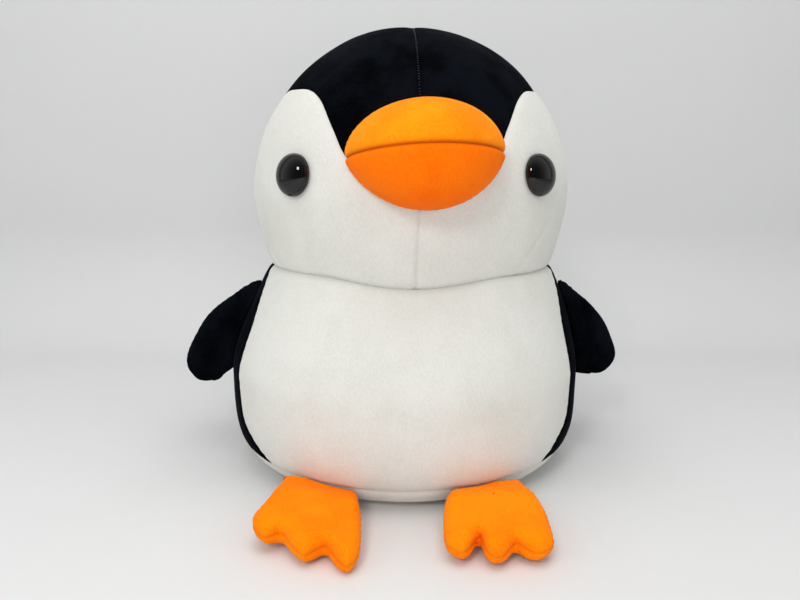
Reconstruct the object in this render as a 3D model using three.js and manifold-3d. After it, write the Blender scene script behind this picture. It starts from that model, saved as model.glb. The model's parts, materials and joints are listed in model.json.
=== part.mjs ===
// A stuffed penguin: sewn panels over stuffing, with two flippers and two feet that flop on their seams.
// Millimetres and degrees. +Z is up, the face looks along -Y, and the origin is the middle of the base.
import * as THREE from "three";
import { mergeVertices } from "three/addons/utils/BufferGeometryUtils.js";
import Module from "manifold-3d";

const wasm = await Module();
wasm.setup();

// Head and body. An arch's power sets how square it is: 2 is an ellipse, and less is more pointed.
const HEIGHT = 350; // table to the top of the head
const HEAD_RADIUS = 128.5; // half the head's width
const HEAD_LEVEL = 221; // height of the head's widest ring
const CROWN_POWER = 1.96;
const JAW_POWER = 1.5;
const NECK_RADIUS = 117;
const NECK_LEVEL = 159;
const BODY_RADIUS = 147; // half the body's width
const BODY_LEVEL = 80; // height of the body's widest ring
const SHOULDER_POWER = 1.4;
const UNDER_POWER = 4.6;
const UNDER_CUT = 8; // how much of the round underside is pressed flat
const HEAD_DEPTH = 0.95; // front to back, as a share of the width
const BELLY_DEPTH = 0.974;
const BACK_DEPTH = 0.88;
const DEPTH_BLEND = 50; // the depth changes over this drop below the neck
const HEAD_SHIFT = 4.8; // the head leans sideways by this much
const SEAM_TURN = 2.4; // the crown and chin seams are turned by this angle about the vertical
const CHEEK_TURN = { left: 4, right: 2 };

// Cloth and the gaps that keep sewn pieces apart.
const CLOTH = 2.2;
const SEAM = 0.4; // between two panels along a seam
const REST_GAP = 0.35; // between cloth and what lies against it

// Seams, by azimuth from the front and by height.
const BASE_SEAM = 19; // height of the seam round the base panel
const SIDE_SEAM_BASE = 50; // azimuth of the side seam at the base
const SIDE_SEAM_LOW = 64; // azimuth of the side seam at the body's widest ring
const SIDE_SEAM_NECK = 77; // azimuth of the side seam at the neck

// Eyes and the washers that lock them behind the cloth.
const EYE_RADIUS = 15;
const EYE_DOME = 10.5;
const EYE_AZIMUTH = 41.5;
const EYE_TURN = 2;
const EYE_ELEVATION = 6.4;
const EYE_SINK = 0.9; // the eye presses this far into the cloth
const STEM_RADIUS = 2.5;
const STEM_LENGTH = 14;
const WASHER_RADIUS = 10;
const WASHER_THICKNESS = 2;

// Beak.
const BEAK_HALF_WIDTH = 54;
const BEAK_UP = 35; // lip seam to the beak's top
const BEAK_DOWN = 37; // lip seam to the beak's bottom
const BEAK_REACH = 47; // how far it stands out of the face
const BEAK_ROOT = 14; // how deep its plan is drawn into the head before the face trims it
const BEAK_ELEVATION = 12.5;
const BEAK_TURN = 4;
const BEAK_PITCH = 7; // the lip seam rises towards the tip
const BEAK_ROLL = 1.5;
const BEAK_UP_PINCH = 1; // how sharply the upper half narrows to the corners
const BEAK_DOWN_PINCH = 1.35;

// Flippers, drawn in a plane: across is away from the body, along is up the root seam.
const WING_AZIMUTH = 84;
const WING_TOP_DROP = 17; // from the neck seam down to the top of the root
const WING_ROOT = 66; // height that the root seam covers
const WING_SPREAD = { left: 37.5, right: 39 }; // hinge line to the outer edge
const WING_TAIL = { left: 62.5, right: 52 }; // middle of the root to the lower tip
const WING_HALF_THICKNESS = 9;
const WING_ROOT_FILLING = 0.45; // half the thickness of the filling where the wing is sewn down
const WING_TAPER = 20; // the wing fills out over this distance from the hinge line
const WING_HINGE_GAP = 1.6; // hinge line to the body where they are nearest
const WING_GAP = 0.7; // root edge to the body
const WING_SWEEP = { left: 5, right: 22 }; // how far each rests behind straight sideways
const WING_RANGE = { back: -40, forward: 60 };

// Feet, drawn in a plane: across is sideways, along is towards the toes.
const FOOT_AZIMUTH = 25;
const FOOT_LENGTH = 75; // hinge line to the toes
const FOOT_HALF_WIDTH = 40;
const FOOT_ROOT_HALF_WIDTH = 26;
const FOOT_HALF_THICKNESS = 9.5;
const FOOT_ROOT_FILLING = 0.45;
const FOOT_TAPER = 24;
const FOOT_HINGE_GAP = 2.2;
const FOOT_GAP = 0.8;
const FOOT_CLEARANCE = 1.2; // toes to the table
const FOOT_TURN = { left: 12, right: 5 }; // toes outwards
const FOOT_ROLL = { left: 5, right: 0 }; // outer toe upwards
const FOOT_RANGE = { down: -45, up: 30 };

// A foot's edge round its three toes, in shares of the half width and the length.
const TOES = {
  left: [
    [0.72, 0.29], [0.77, 0.55], [0.8, 0.68], [0.71, 0.78], [0.56, 0.85], [0.4, 0.87], [0.22, 0.79],
    [-0.03, 0.9], [-0.3, 0.99], [-0.44, 0.9], [-0.55, 0.83], [-0.81, 0.96], [-1, 1.01], [-1.09, 0.94],
    [-1.11, 0.8], [-0.96, 0.47], [-0.7, 0.06],
  ],
  right: [
    [0.7, 0.05], [0.92, 0.39], [1.01, 0.8], [0.96, 0.88], [0.75, 0.95], [0.62, 0.9], [0.44, 0.76],
    [0.41, 0.93], [0.32, 1.02], [0.16, 1.02], [0, 0.93], [-0.1, 0.87], [-0.25, 0.97], [-0.41, 1.01],
    [-0.69, 0.92], [-0.74, 0.81], [-0.79, 0.48], [-0.66, 0.06],
  ],
};
const RANGE_STEP = 15; // the body's room is cut out of a moving piece at steps of this angle

// How finely round forms are drawn.
const COLUMNS = 28;
const RINGS = 6;
const JAW_RINGS = 3;
const EYE_COLUMNS = 20;
const EYE_RINGS = 5;
const WASHER_COLUMNS = 16;
const BEAK_COLUMNS = 18;
const BEAK_RINGS = 12;
const OUTLINE_POINTS = 40;
const PILLOW_POINTS = 36;
const PILLOW_RINGS = 3;
const BULGE_STEPS = 20;
const FAN_STEPS = 8;
const FAR = 400; // reaches past the whole figure

const SIDES = { left: -1, right: 1 }; // left and right as seen from the front, by the sign of X

const rad = THREE.MathUtils.degToRad;
const lerp = THREE.MathUtils.lerp;

function cloth(color) {
  return new THREE.MeshStandardMaterial({ color, roughness: 0.92, metalness: 0 });
}

const colours = {
  black: () => cloth(0x11131a),
  white: () => cloth(0xeeebe2),
  orange: () => cloth(0xff8416),
  filling: () => cloth(0xf6f4ef),
  eye: () => new THREE.MeshStandardMaterial({ color: 0x050506, roughness: 0.06, metalness: 0 }),
  washer: () => new THREE.MeshStandardMaterial({ color: 0xd8d8d4, roughness: 0.5, metalness: 0 }),
};

// Solids: a closed geometry as a manifold, and back.
function solid(geometry) {
  const bare = geometry.clone();
  bare.deleteAttribute("normal");
  bare.deleteAttribute("uv");
  const merged = mergeVertices(bare, 1e-3);
  const mesh = new wasm.Mesh({
    numProp: 3,
    vertProperties: merged.attributes.position.array,
    triVerts: new Uint32Array(merged.index.array),
  });
  return new wasm.Manifold(mesh);
}

function named(name, body, material) {
  const { vertProperties, triVerts } = body.getMesh();
  const geometry = new THREE.BufferGeometry();
  geometry.setAttribute("position", new THREE.BufferAttribute(vertProperties, 3));
  geometry.setIndex(new THREE.BufferAttribute(triVerts, 1));
  geometry.computeVertexNormals();
  const mesh = new THREE.Mesh(geometry, material);
  mesh.name = name;
  return mesh;
}

function reshape(geometry, place) {
  const points = geometry.attributes.position;
  for (let i = 0; i < points.count; i += 1) {
    points.setXYZ(i, ...place(points.getX(i), points.getY(i), points.getZ(i)));
  }
  return geometry;
}

function block(low, high) {
  const size = high.map((value, i) => value - low[i]);
  const geometry = new THREE.BoxGeometry(...size);
  geometry.translate(...low.map((value, i) => value + size[i] / 2));
  return geometry;
}

const above = (level) => solid(block([-FAR, -FAR, level], [FAR, FAR, level + 2 * FAR]));
const below = (level) => solid(block([-FAR, -FAR, level - 2 * FAR], [FAR, FAR, level]));

// The figure's form: the radius at a height, set in by a depth, and the place of a point on it.
function arch(widest, share, power) {
  return widest * Math.max(0, 1 - share ** power) ** (1 / power);
}

function archReach(widest, narrow, rise, power) {
  return rise / (1 - (narrow / widest) ** power) ** (1 / power);
}

function bodyRadius(level, inset) {
  const widest = BODY_RADIUS - inset;
  const neck = NECK_RADIUS - inset;
  if (level >= NECK_LEVEL) return neck;
  if (level < BODY_LEVEL) {
    return arch(widest, (BODY_LEVEL - level) / (BODY_LEVEL + UNDER_CUT - inset), UNDER_POWER);
  }
  const reach = archReach(widest, neck, NECK_LEVEL - BODY_LEVEL, SHOULDER_POWER);
  return arch(widest, (level - BODY_LEVEL) / reach, SHOULDER_POWER);
}

function headRadius(level, inset) {
  const widest = HEAD_RADIUS - inset;
  const neck = NECK_RADIUS - inset;
  if (level <= NECK_LEVEL) return neck;
  if (level > HEAD_LEVEL) {
    return arch(widest, (level - HEAD_LEVEL) / (HEIGHT - inset - HEAD_LEVEL), CROWN_POWER);
  }
  const reach = archReach(widest, neck, HEAD_LEVEL - NECK_LEVEL, JAW_POWER);
  return arch(widest, (HEAD_LEVEL - level) / reach, JAW_POWER);
}

function onFigure(azimuth, radius, level) {
  const fall = THREE.MathUtils.clamp((NECK_LEVEL - level) / DEPTH_BLEND, 0, 1);
  const side = Math.cos(azimuth) > 0 ? BELLY_DEPTH : BACK_DEPTH;
  const lean = HEAD_SHIFT * THREE.MathUtils.smoothstep(level, BODY_LEVEL, NECK_LEVEL);
  const depth = lerp(HEAD_DEPTH, side, fall);
  return [radius * Math.sin(azimuth) + lean, -radius * depth * Math.cos(azimuth), level];
}

const onHead = (azimuth, level) => new THREE.Vector3(...onFigure(azimuth, headRadius(level, 0), level));
const onBody = (azimuth, level) => new THREE.Vector3(...onFigure(azimuth, bodyRadius(level, 0), level));
const crownLevel = (elevation) => HEAD_LEVEL + (HEIGHT - HEAD_LEVEL) * Math.sin(rad(elevation));

function normalAt(surface, azimuth, level) {
  const step = 0.01;
  const around = surface(azimuth + step, level).sub(surface(azimuth - step, level));
  const upwards = surface(azimuth, level + 1).sub(surface(azimuth, level - 1));
  return around.cross(upwards).normalize();
}

// A turned solid through the given heights, then set on the figure's oval plan.
function turned(radiusAt, levels) {
  const wall = levels.map((level) => new THREE.Vector2(radiusAt(level), level));
  const profile = [new THREE.Vector2(0, levels[0]), ...wall, new THREE.Vector2(0, levels.at(-1))];
  const geometry = new THREE.LatheGeometry(profile, COLUMNS);
  return reshape(geometry, (x, y, z) => onFigure(Math.atan2(x, z), Math.hypot(x, z), y));
}

function bodyForm(inset, top = NECK_LEVEL) {
  const low = Math.max(inset, 0);
  const steps = Array.from({ length: RINGS }, (_, i) => (1 - Math.cos((Math.PI * i) / RINGS)) / 2);
  const levels = steps.map((share) => lerp(low, NECK_LEVEL, share));
  return turned((level) => bodyRadius(level, inset), [...levels, top]);
}

function headForm(inset, bottom = NECK_LEVEL) {
  const rise = HEIGHT - inset - HEAD_LEVEL;
  const jaw = Array.from({ length: JAW_RINGS }, (_, i) => {
    return lerp(NECK_LEVEL, HEAD_LEVEL, (i + 0.5) / JAW_RINGS);
  });
  const dome = Array.from({ length: RINGS }, (_, i) => {
    return HEAD_LEVEL + rise * Math.sin((Math.PI / 2) * ((i + 0.3) / RINGS));
  });
  const top = HEIGHT - inset - 1e-3;
  return turned((level) => headRadius(level, inset), [bottom, ...jaw, ...dome, top]);
}

// Cutters that fan out from the figure's axis and cover an outline drawn in arc length and height.
const arc = (azimuth) => rad(azimuth) * HEAD_RADIUS;

function fan(outline) {
  const shape = new THREE.Shape(outline);
  const geometry = new THREE.ExtrudeGeometry(shape, { depth: 1, steps: FAN_STEPS, bevelEnabled: false });
  const fromAxis = (share) => lerp(NECK_RADIUS / 2, BODY_RADIUS * 1.6, share);
  return solid(reshape(geometry, (x, y, z) => onFigure(x / HEAD_RADIUS, fromAxis(z), y)));
}

function grown(outline, distance) {
  const turn = Math.sign(THREE.ShapeUtils.area(outline));
  return outline.map((point, i) => {
    const before = outline.at(i - 1);
    const after = outline[(i + 1) % outline.length];
    const edge = after.clone().sub(before).normalize();
    return new THREE.Vector2(point.x + turn * distance * edge.y, point.y - turn * distance * edge.x);
  });
}

function sampled(path, count) {
  return path.getSpacedPoints(count).slice(0, -1);
}

// The white face panel on one side: chin seam, under the beak, beside the crown, and behind the eye.
function cheekOutline(name, side) {
  const at = (azimuth, level) => new THREE.Vector2(arc(side * azimuth + CHEEK_TURN[name]), level);
  const path = new THREE.Path();
  const foot = NECK_LEVEL - CLOTH * 4;
  const lip = crownLevel(BEAK_ELEVATION - 2);
  path.moveTo(arc(SEAM_TURN), foot);
  path.lineTo(arc(SEAM_TURN), lip);
  path.lineTo(arc(side * 22 + CHEEK_TURN[name]), lip);
  path.splineThru([
    at(25, crownLevel(12)),
    at(31, crownLevel(20.5)),
    at(40, crownLevel(30.5)),
    at(47, crownLevel(34.8)),
    at(58, crownLevel(36.5)),
    at(72, crownLevel(37)),
    at(86, crownLevel(32)),
    at(94, crownLevel(20)),
    at(95, HEAD_LEVEL),
    at(88, lerp(NECK_LEVEL, HEAD_LEVEL, 0.4)),
    at(80, NECK_LEVEL),
  ]);
  path.lineTo(arc(side * 78 + CHEEK_TURN[name]), foot);
  path.closePath();
  return sampled(path, OUTLINE_POINTS);
}

// One half of the white belly panel, from just past the middle to the side seam.
function bellyOutline(side) {
  const at = (azimuth, level) => new THREE.Vector2(arc(side * azimuth), level);
  const foot = BASE_SEAM - CLOTH * 4;
  const top = NECK_LEVEL + CLOTH * 4;
  const path = new THREE.Path();
  path.moveTo(arc(-side), foot);
  path.lineTo(arc(side * SIDE_SEAM_BASE), foot);
  path.lineTo(arc(side * SIDE_SEAM_BASE), BASE_SEAM);
  path.splineThru([
    at(lerp(SIDE_SEAM_BASE, SIDE_SEAM_LOW, 0.5), lerp(BASE_SEAM, BODY_LEVEL, 0.27)),
    at(lerp(SIDE_SEAM_BASE, SIDE_SEAM_LOW, 0.86), lerp(BASE_SEAM, BODY_LEVEL, 0.5)),
    at(SIDE_SEAM_LOW, BODY_LEVEL),
    at(SIDE_SEAM_LOW + 1, lerp(BODY_LEVEL, NECK_LEVEL, 0.5)),
    at(SIDE_SEAM_NECK, NECK_LEVEL),
    at(SIDE_SEAM_NECK + 2, top),
  ]);
  path.lineTo(arc(-side), top);
  path.closePath();
  return sampled(path, OUTLINE_POINTS);
}

// Everything on one side of the figure's middle plane, which can be turned with the face.
function half(side, turn) {
  const near = (side * SEAM) / 2;
  const low = [Math.min(near, side * FAR), -FAR, -FAR];
  const high = [Math.max(near, side * FAR), FAR, 2 * FAR];
  const geometry = block(low, high);
  geometry.rotateZ(rad(turn));
  geometry.translate(turn ? HEAD_SHIFT : 0, 0, 0);
  return solid(geometry);
}

// A frame on the figure: a group whose X, Y and Z axes and place are given.
function frame(place, across, along) {
  const group = new THREE.Group();
  const x = across.clone().normalize();
  const z = x.clone().cross(along).normalize();
  const y = z.clone().cross(x);
  group.applyMatrix4(new THREE.Matrix4().makeBasis(x, y, z).setPosition(place));
  group.updateMatrixWorld(true);
  return group;
}

const intoFrame = (geometry, group) => geometry.clone().applyMatrix4(group.matrix.clone().invert());
const outOfFrame = (geometry, group) => geometry.clone().applyMatrix4(group.matrix);

// Eyes: a domed button on a stem, and the washer pushed onto the stem inside the head.
function eyeForm(gap) {
  const domeAt = (angle) => {
    const radius = (EYE_RADIUS + gap) * Math.cos(angle);
    return new THREE.Vector2(radius, (EYE_DOME + gap) * Math.sin(angle));
  };
  const dome = Array.from({ length: EYE_RINGS }, (_, i) => domeAt((Math.PI / 2) * (i / EYE_RINGS)));
  const profile = [
    new THREE.Vector2(0, -STEM_LENGTH - gap),
    new THREE.Vector2(STEM_RADIUS + gap, -STEM_LENGTH - gap),
    new THREE.Vector2(STEM_RADIUS + gap, -gap),
    new THREE.Vector2(EYE_RADIUS + gap, -gap),
    ...dome,
    new THREE.Vector2(0, EYE_DOME + gap),
  ];
  return new THREE.LatheGeometry(profile, EYE_COLUMNS).rotateX(Math.PI / 2);
}

// From the eye's flat back to the washer: the cloth, and the bow of the head across the washer.
function washerDepth() {
  const bow = WASHER_RADIUS ** 2 / (2 * NECK_RADIUS);
  return CLOTH - EYE_SINK + bow + 2 * REST_GAP;
}

function ring(inner, outer, back, front) {
  const profile = [[inner, back], [outer, back], [outer, front], [inner, front], [inner, back]];
  const points = profile.map(([radius, height]) => new THREE.Vector2(radius, height));
  return new THREE.LatheGeometry(points, WASHER_COLUMNS).rotateX(Math.PI / 2);
}

function washerForm() {
  const front = -washerDepth();
  return ring(STEM_RADIUS + REST_GAP, WASHER_RADIUS, front - WASHER_THICKNESS, front);
}

// The room that the washer presses into what is round it, from its back out to a front.
function washerPocket(front) {
  const back = -washerDepth() - WASHER_THICKNESS - REST_GAP;
  return ring(0, WASHER_RADIUS + REST_GAP, back, front);
}

function eyeFrame(side) {
  const azimuth = rad(side * EYE_AZIMUTH + EYE_TURN);
  const level = crownLevel(EYE_ELEVATION);
  const out = normalAt(onHead, azimuth, level);
  const place = onHead(azimuth, level).addScaledVector(out, -EYE_SINK);
  const up = new THREE.Vector3(0, 0, 1);
  const across = up.clone().cross(out);
  return frame(place, across, out.clone().cross(across));
}

function eye(name, eyeGroup) {
  eyeGroup.add(named(`eye_${name}`, solid(eyeForm(0)), colours.eye()));
  eyeGroup.add(named(`eye_washer_${name}`, solid(washerForm()), colours.washer()));
  return eyeGroup;
}

// Beak: an almond seen from the front, its two halves sewn along the lip.
function beakFrame() {
  const level = crownLevel(BEAK_ELEVATION);
  const azimuth = rad(BEAK_TURN);
  const across = new THREE.Vector3(Math.cos(azimuth), Math.sin(azimuth), Math.sin(rad(BEAK_ROLL)));
  const back = new THREE.Vector3(-Math.sin(azimuth), Math.cos(azimuth), -Math.tan(rad(BEAK_PITCH)));
  return frame(onHead(azimuth, level), across, back);
}

function beakForm(inset) {
  const width = BEAK_HALF_WIDTH - inset;
  const geometry = new THREE.SphereGeometry(1, BEAK_COLUMNS, BEAK_RINGS).rotateZ(Math.PI / 2);
  return reshape(geometry, (x, y, z) => {
    const ring = Math.hypot(y, z);
    const [forward, up] = ring > 1e-6 ? [-y / ring, z / ring] : [0, 0];
    const pinch = Math.min(1, ring) ** (up > 0 ? BEAK_UP_PINCH : BEAK_DOWN_PINCH);
    const height = (up > 0 ? BEAK_UP : BEAK_DOWN) - inset;
    const reach = forward > 0 ? (BEAK_REACH - inset) * ring ** BEAK_UP_PINCH : BEAK_ROOT * ring;
    const side = (x * width) / HEAD_RADIUS;
    const faceBow = HEAD_RADIUS * HEAD_DEPTH * (1 - Math.sqrt(1 - side ** 2));
    return [x * width, faceBow - reach * forward, height * pinch * up];
  });
}

function beak() {
  const group = beakFrame();
  const face = solid(intoFrame(headForm(-REST_GAP, NECK_LEVEL - CLOTH), group));
  const outside = solid(beakForm(0)).subtract(face);
  const shell = outside.subtract(solid(beakForm(CLOTH)));
  const stuffing = solid(beakForm(CLOTH + REST_GAP)).subtract(face);
  group.add(named("beak_upper", shell.intersect(above(SEAM / 2)), colours.orange()));
  group.add(named("beak_lower", shell.intersect(below(-SEAM / 2)), colours.orange()));
  group.add(named("beak_stuffing", stuffing, colours.filling()));
  return group;
}

// Head: two crown panels that run over the top and down the back, and two cheek panels.
function head() {
  const group = new THREE.Group();
  const bottom = above(NECK_LEVEL + SEAM / 2);
  const inside = solid(headForm(CLOTH, NECK_LEVEL - CLOTH * 2));
  const skin = solid(headForm(0)).subtract(inside).intersect(bottom);
  let crown = skin;
  let filling = solid(headForm(CLOTH + REST_GAP)).intersect(bottom);
  for (const [name, side] of Object.entries(SIDES)) {
    const eyeGroup = eyeFrame(side);
    const outline = cheekOutline(name, side);
    const pressed = [eyeForm(REST_GAP), washerPocket(REST_GAP - washerDepth()), washerPocket(0)];
    const [button, nip, hollow] = pressed.map((geometry) => solid(outOfFrame(geometry, eyeGroup)));
    const cheek = skin.intersect(fan(grown(outline, -SEAM / 2))).subtract(button).subtract(nip);
    filling = filling.subtract(button).subtract(hollow);
    crown = crown.subtract(fan(grown(outline, SEAM / 2)));
    group.add(named(`cheek_${name}`, cheek, colours.white()), eye(name, eyeGroup));
  }
  for (const [name, side] of Object.entries(SIDES)) {
    group.add(named(`crown_${name}`, crown.intersect(half(side, SEAM_TURN)), colours.black()));
  }
  group.add(named("head_stuffing", filling, colours.filling()));
  group.add(beak());
  return group;
}

// Body: belly, two back panels with a seam down the spine, and the base panel.
function body() {
  const group = new THREE.Group();
  const top = below(NECK_LEVEL - SEAM / 2);
  const inside = solid(bodyForm(CLOTH, NECK_LEVEL + CLOTH * 2));
  const skin = solid(bodyForm(0)).subtract(inside).intersect(top);
  const tube = skin.intersect(above(BASE_SEAM + SEAM / 2));
  const cover = (growth) => {
    const [left, right] = Object.values(SIDES).map((side) => fan(grown(bellyOutline(side), growth)));
    return left.add(right);
  };
  group.add(named("base_panel", skin.intersect(below(BASE_SEAM - SEAM / 2)), colours.white()));
  group.add(named("belly_panel", tube.intersect(cover(-SEAM / 2)), colours.white()));
  const back = tube.subtract(cover(SEAM / 2));
  for (const [name, side] of Object.entries(SIDES)) {
    group.add(named(`back_${name}`, back.intersect(half(side, 0)), colours.black()));
  }
  const filling = solid(bodyForm(CLOTH + REST_GAP)).intersect(top);
  group.add(named("body_stuffing", filling, colours.filling()));
  return group;
}

// A stuffed two-sided piece: rings run from the outline to its centre, and it is thickest there.
function pillow(outline, centre, halfThickness) {
  const rings = Array.from({ length: 2 * PILLOW_RINGS + 1 }, (_, i) => i / PILLOW_RINGS - 1);
  const profile = rings.map((share) => {
    const angle = (share * Math.PI) / 2;
    return new THREE.Vector2(Math.cos(angle), Math.sin(angle));
  });
  profile[0].x = 0;
  profile.at(-1).x = 0;
  const geometry = new THREE.LatheGeometry(profile, outline.length);
  return reshape(geometry, (x, y, z) => {
    const share = Math.hypot(x, z);
    const column = Math.round((Math.atan2(x, z) / (2 * Math.PI)) * outline.length);
    const rim = outline.at(column % outline.length);
    const across = lerp(centre.x, rim.x, share);
    const along = lerp(centre.y, rim.y, share);
    return [across, along, y * halfThickness(across, along)];
  });
}

// The body as a moving piece meets it over its whole range, as one solid in the piece's own frame.
function sweptBody(group, gap, axis, [low, high]) {
  const still = intoFrame(bodyForm(-gap), group);
  const count = Math.ceil((high - low) / RANGE_STEP);
  const angles = Array.from({ length: count + 1 }, (_, i) => rad(lerp(low, high, i / count)));
  const bodyAt = (angle) => {
    const turn = new THREE.Matrix4().makeRotationAxis(axis, -angle);
    return solid(still.clone().applyMatrix4(turn));
  };
  return angles.map(bodyAt).reduce((all, next) => all.add(next));
}

// The two cloths and the stuffing of a flipper or a foot, trimmed to the body that they are sewn to.
function stuffedPair(names, outline, centre, thicknessAt, body, material) {
  const shape = (inset) => {
    return solid(pillow(grown(outline, -inset), centre, (a, b) => thicknessAt(a, b) - inset));
  };
  const shell = shape(0).subtract(shape(CLOTH)).subtract(body);
  const stuffing = shape(CLOTH + REST_GAP).subtract(body);
  return [
    named(names[0], shell.intersect(above(SEAM / 2)), material()),
    named(names[1], shell.intersect(below(-SEAM / 2)), material()),
    named(names[2], stuffing, colours.filling()),
  ];
}

function closedCurve(points) {
  const places = points.map(([x, y]) => new THREE.Vector3(x, y, 0));
  const curve = new THREE.CatmullRomCurve3(places, true, "centripetal");
  return curve.getSpacedPoints(PILLOW_POINTS).slice(0, -1).map(({ x, y }) => new THREE.Vector2(x, y));
}

// The greatest distance that the body bulges past a straight line between two points on it.
function bulge(surface, start, end, out) {
  const along = end.clone().sub(start);
  const shares = Array.from({ length: BULGE_STEPS + 1 }, (_, i) => i / BULGE_STEPS);
  const heights = shares.map((share) => {
    const point = surface(share);
    return point.sub(start.clone().addScaledVector(along, share)).dot(out);
  });
  return Math.max(...heights);
}

// Flippers.
function wingFrame(side, sweep) {
  const azimuth = rad(side * WING_AZIMUTH);
  const high = NECK_LEVEL - WING_TOP_DROP;
  const low = high - WING_ROOT;
  const bottom = onBody(azimuth, low);
  const top = onBody(azimuth, high);
  const along = top.clone().sub(bottom).normalize();
  const sideways = new THREE.Vector3(side, 0, 0).cross(along).cross(along).negate().normalize();
  const across = sideways.clone().applyAxisAngle(along, side * rad(sweep));
  const out = bulge((share) => onBody(azimuth, lerp(low, high, share)), bottom, top, sideways);
  const place = bottom.clone().lerp(top, 0.5).addScaledVector(sideways, out + WING_HINGE_GAP);
  return frame(place, across, along);
}

function wingOutline(name) {
  const root = WING_ROOT / 2;
  const spread = WING_SPREAD[name];
  const tail = WING_TAIL[name];
  return closedCurve([
    [-WING_TAPER, -root],
    [-0.14 * spread, -1.28 * root],
    [0.16 * spread, -0.92 * tail],
    [0.5 * spread, -tail],
    [0.86 * spread, -0.9 * tail],
    [spread, -0.74 * tail],
    [0.96 * spread, -0.34 * tail],
    [0.82 * spread, -0.02 * tail],
    [0.43 * spread, 0.66 * root],
    [-0.08 * spread, 1.25 * root],
    [-WING_TAPER, root],
  ]);
}

// Half the thickness of a stuffed piece, from the cloths pressed together at its root to its full body.
function taper(distance, full, rootFilling, length) {
  const root = CLOTH + REST_GAP + rootFilling;
  return lerp(root, full, THREE.MathUtils.smoothstep(distance, 0, length));
}

function wing(name, side) {
  const group = wingFrame(side, WING_SWEEP[name]);
  const hinge = new THREE.Vector3(0, -side, 0);
  const trim = sweptBody(group, WING_GAP, hinge, [WING_RANGE.back, WING_RANGE.forward]);
  const centre = new THREE.Vector2(0.45 * WING_SPREAD[name], -0.35 * WING_TAIL[name]);
  const thicknessAt = (across) => {
    return taper(across, WING_HALF_THICKNESS, WING_ROOT_FILLING, WING_TAPER);
  };
  const cloths = side > 0 ? ["front", "rear"] : ["rear", "front"];
  const names = [...cloths, "stuffing"].map((piece) => `wing_${name}_${piece}`);
  group.add(...stuffedPair(names, wingOutline(name), centre, thicknessAt, trim, colours.black));
  return group;
}

// Feet.
function footFrame(name, side) {
  const azimuth = rad(side * FOOT_AZIMUTH);
  const spread = FOOT_ROOT_HALF_WIDTH / BODY_RADIUS;
  const hem = (share) => onBody(azimuth + side * spread * (2 * share - 1), BASE_SEAM);
  const inner = hem(0);
  const outer = hem(1);
  const forwards = new THREE.Vector3(0, -1, 0);
  const bow = bulge(hem, inner, outer, forwards);
  const place = inner.clone().lerp(outer, 0.5).addScaledVector(forwards, bow + FOOT_HINGE_GAP);
  const drop = Math.asin((BASE_SEAM - FOOT_HALF_THICKNESS - FOOT_CLEARANCE) / FOOT_LENGTH);
  const turn = side * rad(FOOT_TURN[name]);
  const along = new THREE.Vector3(Math.sin(turn), -Math.cos(turn), -Math.tan(drop));
  const roll = side * rad(FOOT_ROLL[name]);
  return frame(place, new THREE.Vector3(-Math.cos(turn), -Math.sin(turn), -Math.sin(roll)), along);
}

function footOutline(name) {
  const toes = TOES[name].map(([across, along]) => [across * FOOT_HALF_WIDTH, along * FOOT_LENGTH]);
  const root = [[-FOOT_ROOT_HALF_WIDTH, -FOOT_TAPER], [FOOT_ROOT_HALF_WIDTH, -FOOT_TAPER]];
  return closedCurve([...toes, ...root]);
}

function foot(name, side) {
  const group = footFrame(name, side);
  const hinge = new THREE.Vector3(1, 0, 0);
  const trim = sweptBody(group, FOOT_GAP, hinge, [FOOT_RANGE.down, FOOT_RANGE.up]);
  const centre = new THREE.Vector2(0, 0.3 * FOOT_LENGTH);
  const thicknessAt = (across, along) => {
    return taper(along, FOOT_HALF_THICKNESS, FOOT_ROOT_FILLING, FOOT_TAPER);
  };
  const names = ["upper", "sole", "stuffing"].map((piece) => `foot_${name}_${piece}`);
  group.add(...stuffedPair(names, footOutline(name), centre, thicknessAt, trim, colours.orange));
  return group;
}

const penguin = new THREE.Group();
penguin.add(head(), body());
for (const [name, side] of Object.entries(SIDES)) {
  penguin.add(wing(name, side), foot(name, side));
}

export default penguin;
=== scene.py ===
# %% [markdown]
# # A stuffed penguin, sewn panel by panel
# A soft toy is a set of flat cloth panels, sewn together and filled until they are tight.
# What makes it look soft is small: the groove along each seam, the puckers beside the stitches,
# the swell between two seams, and a pile that catches light at its edges.
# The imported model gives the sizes, the places and the bodies. This script makes the surfaces.
# A value in millimetres is multiplied by MM where it is set, because Blender works in metres.

# %% Load the frame
import json
import math
import bpy
import numpy as np
from mathutils import Matrix, Vector, noise


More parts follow.
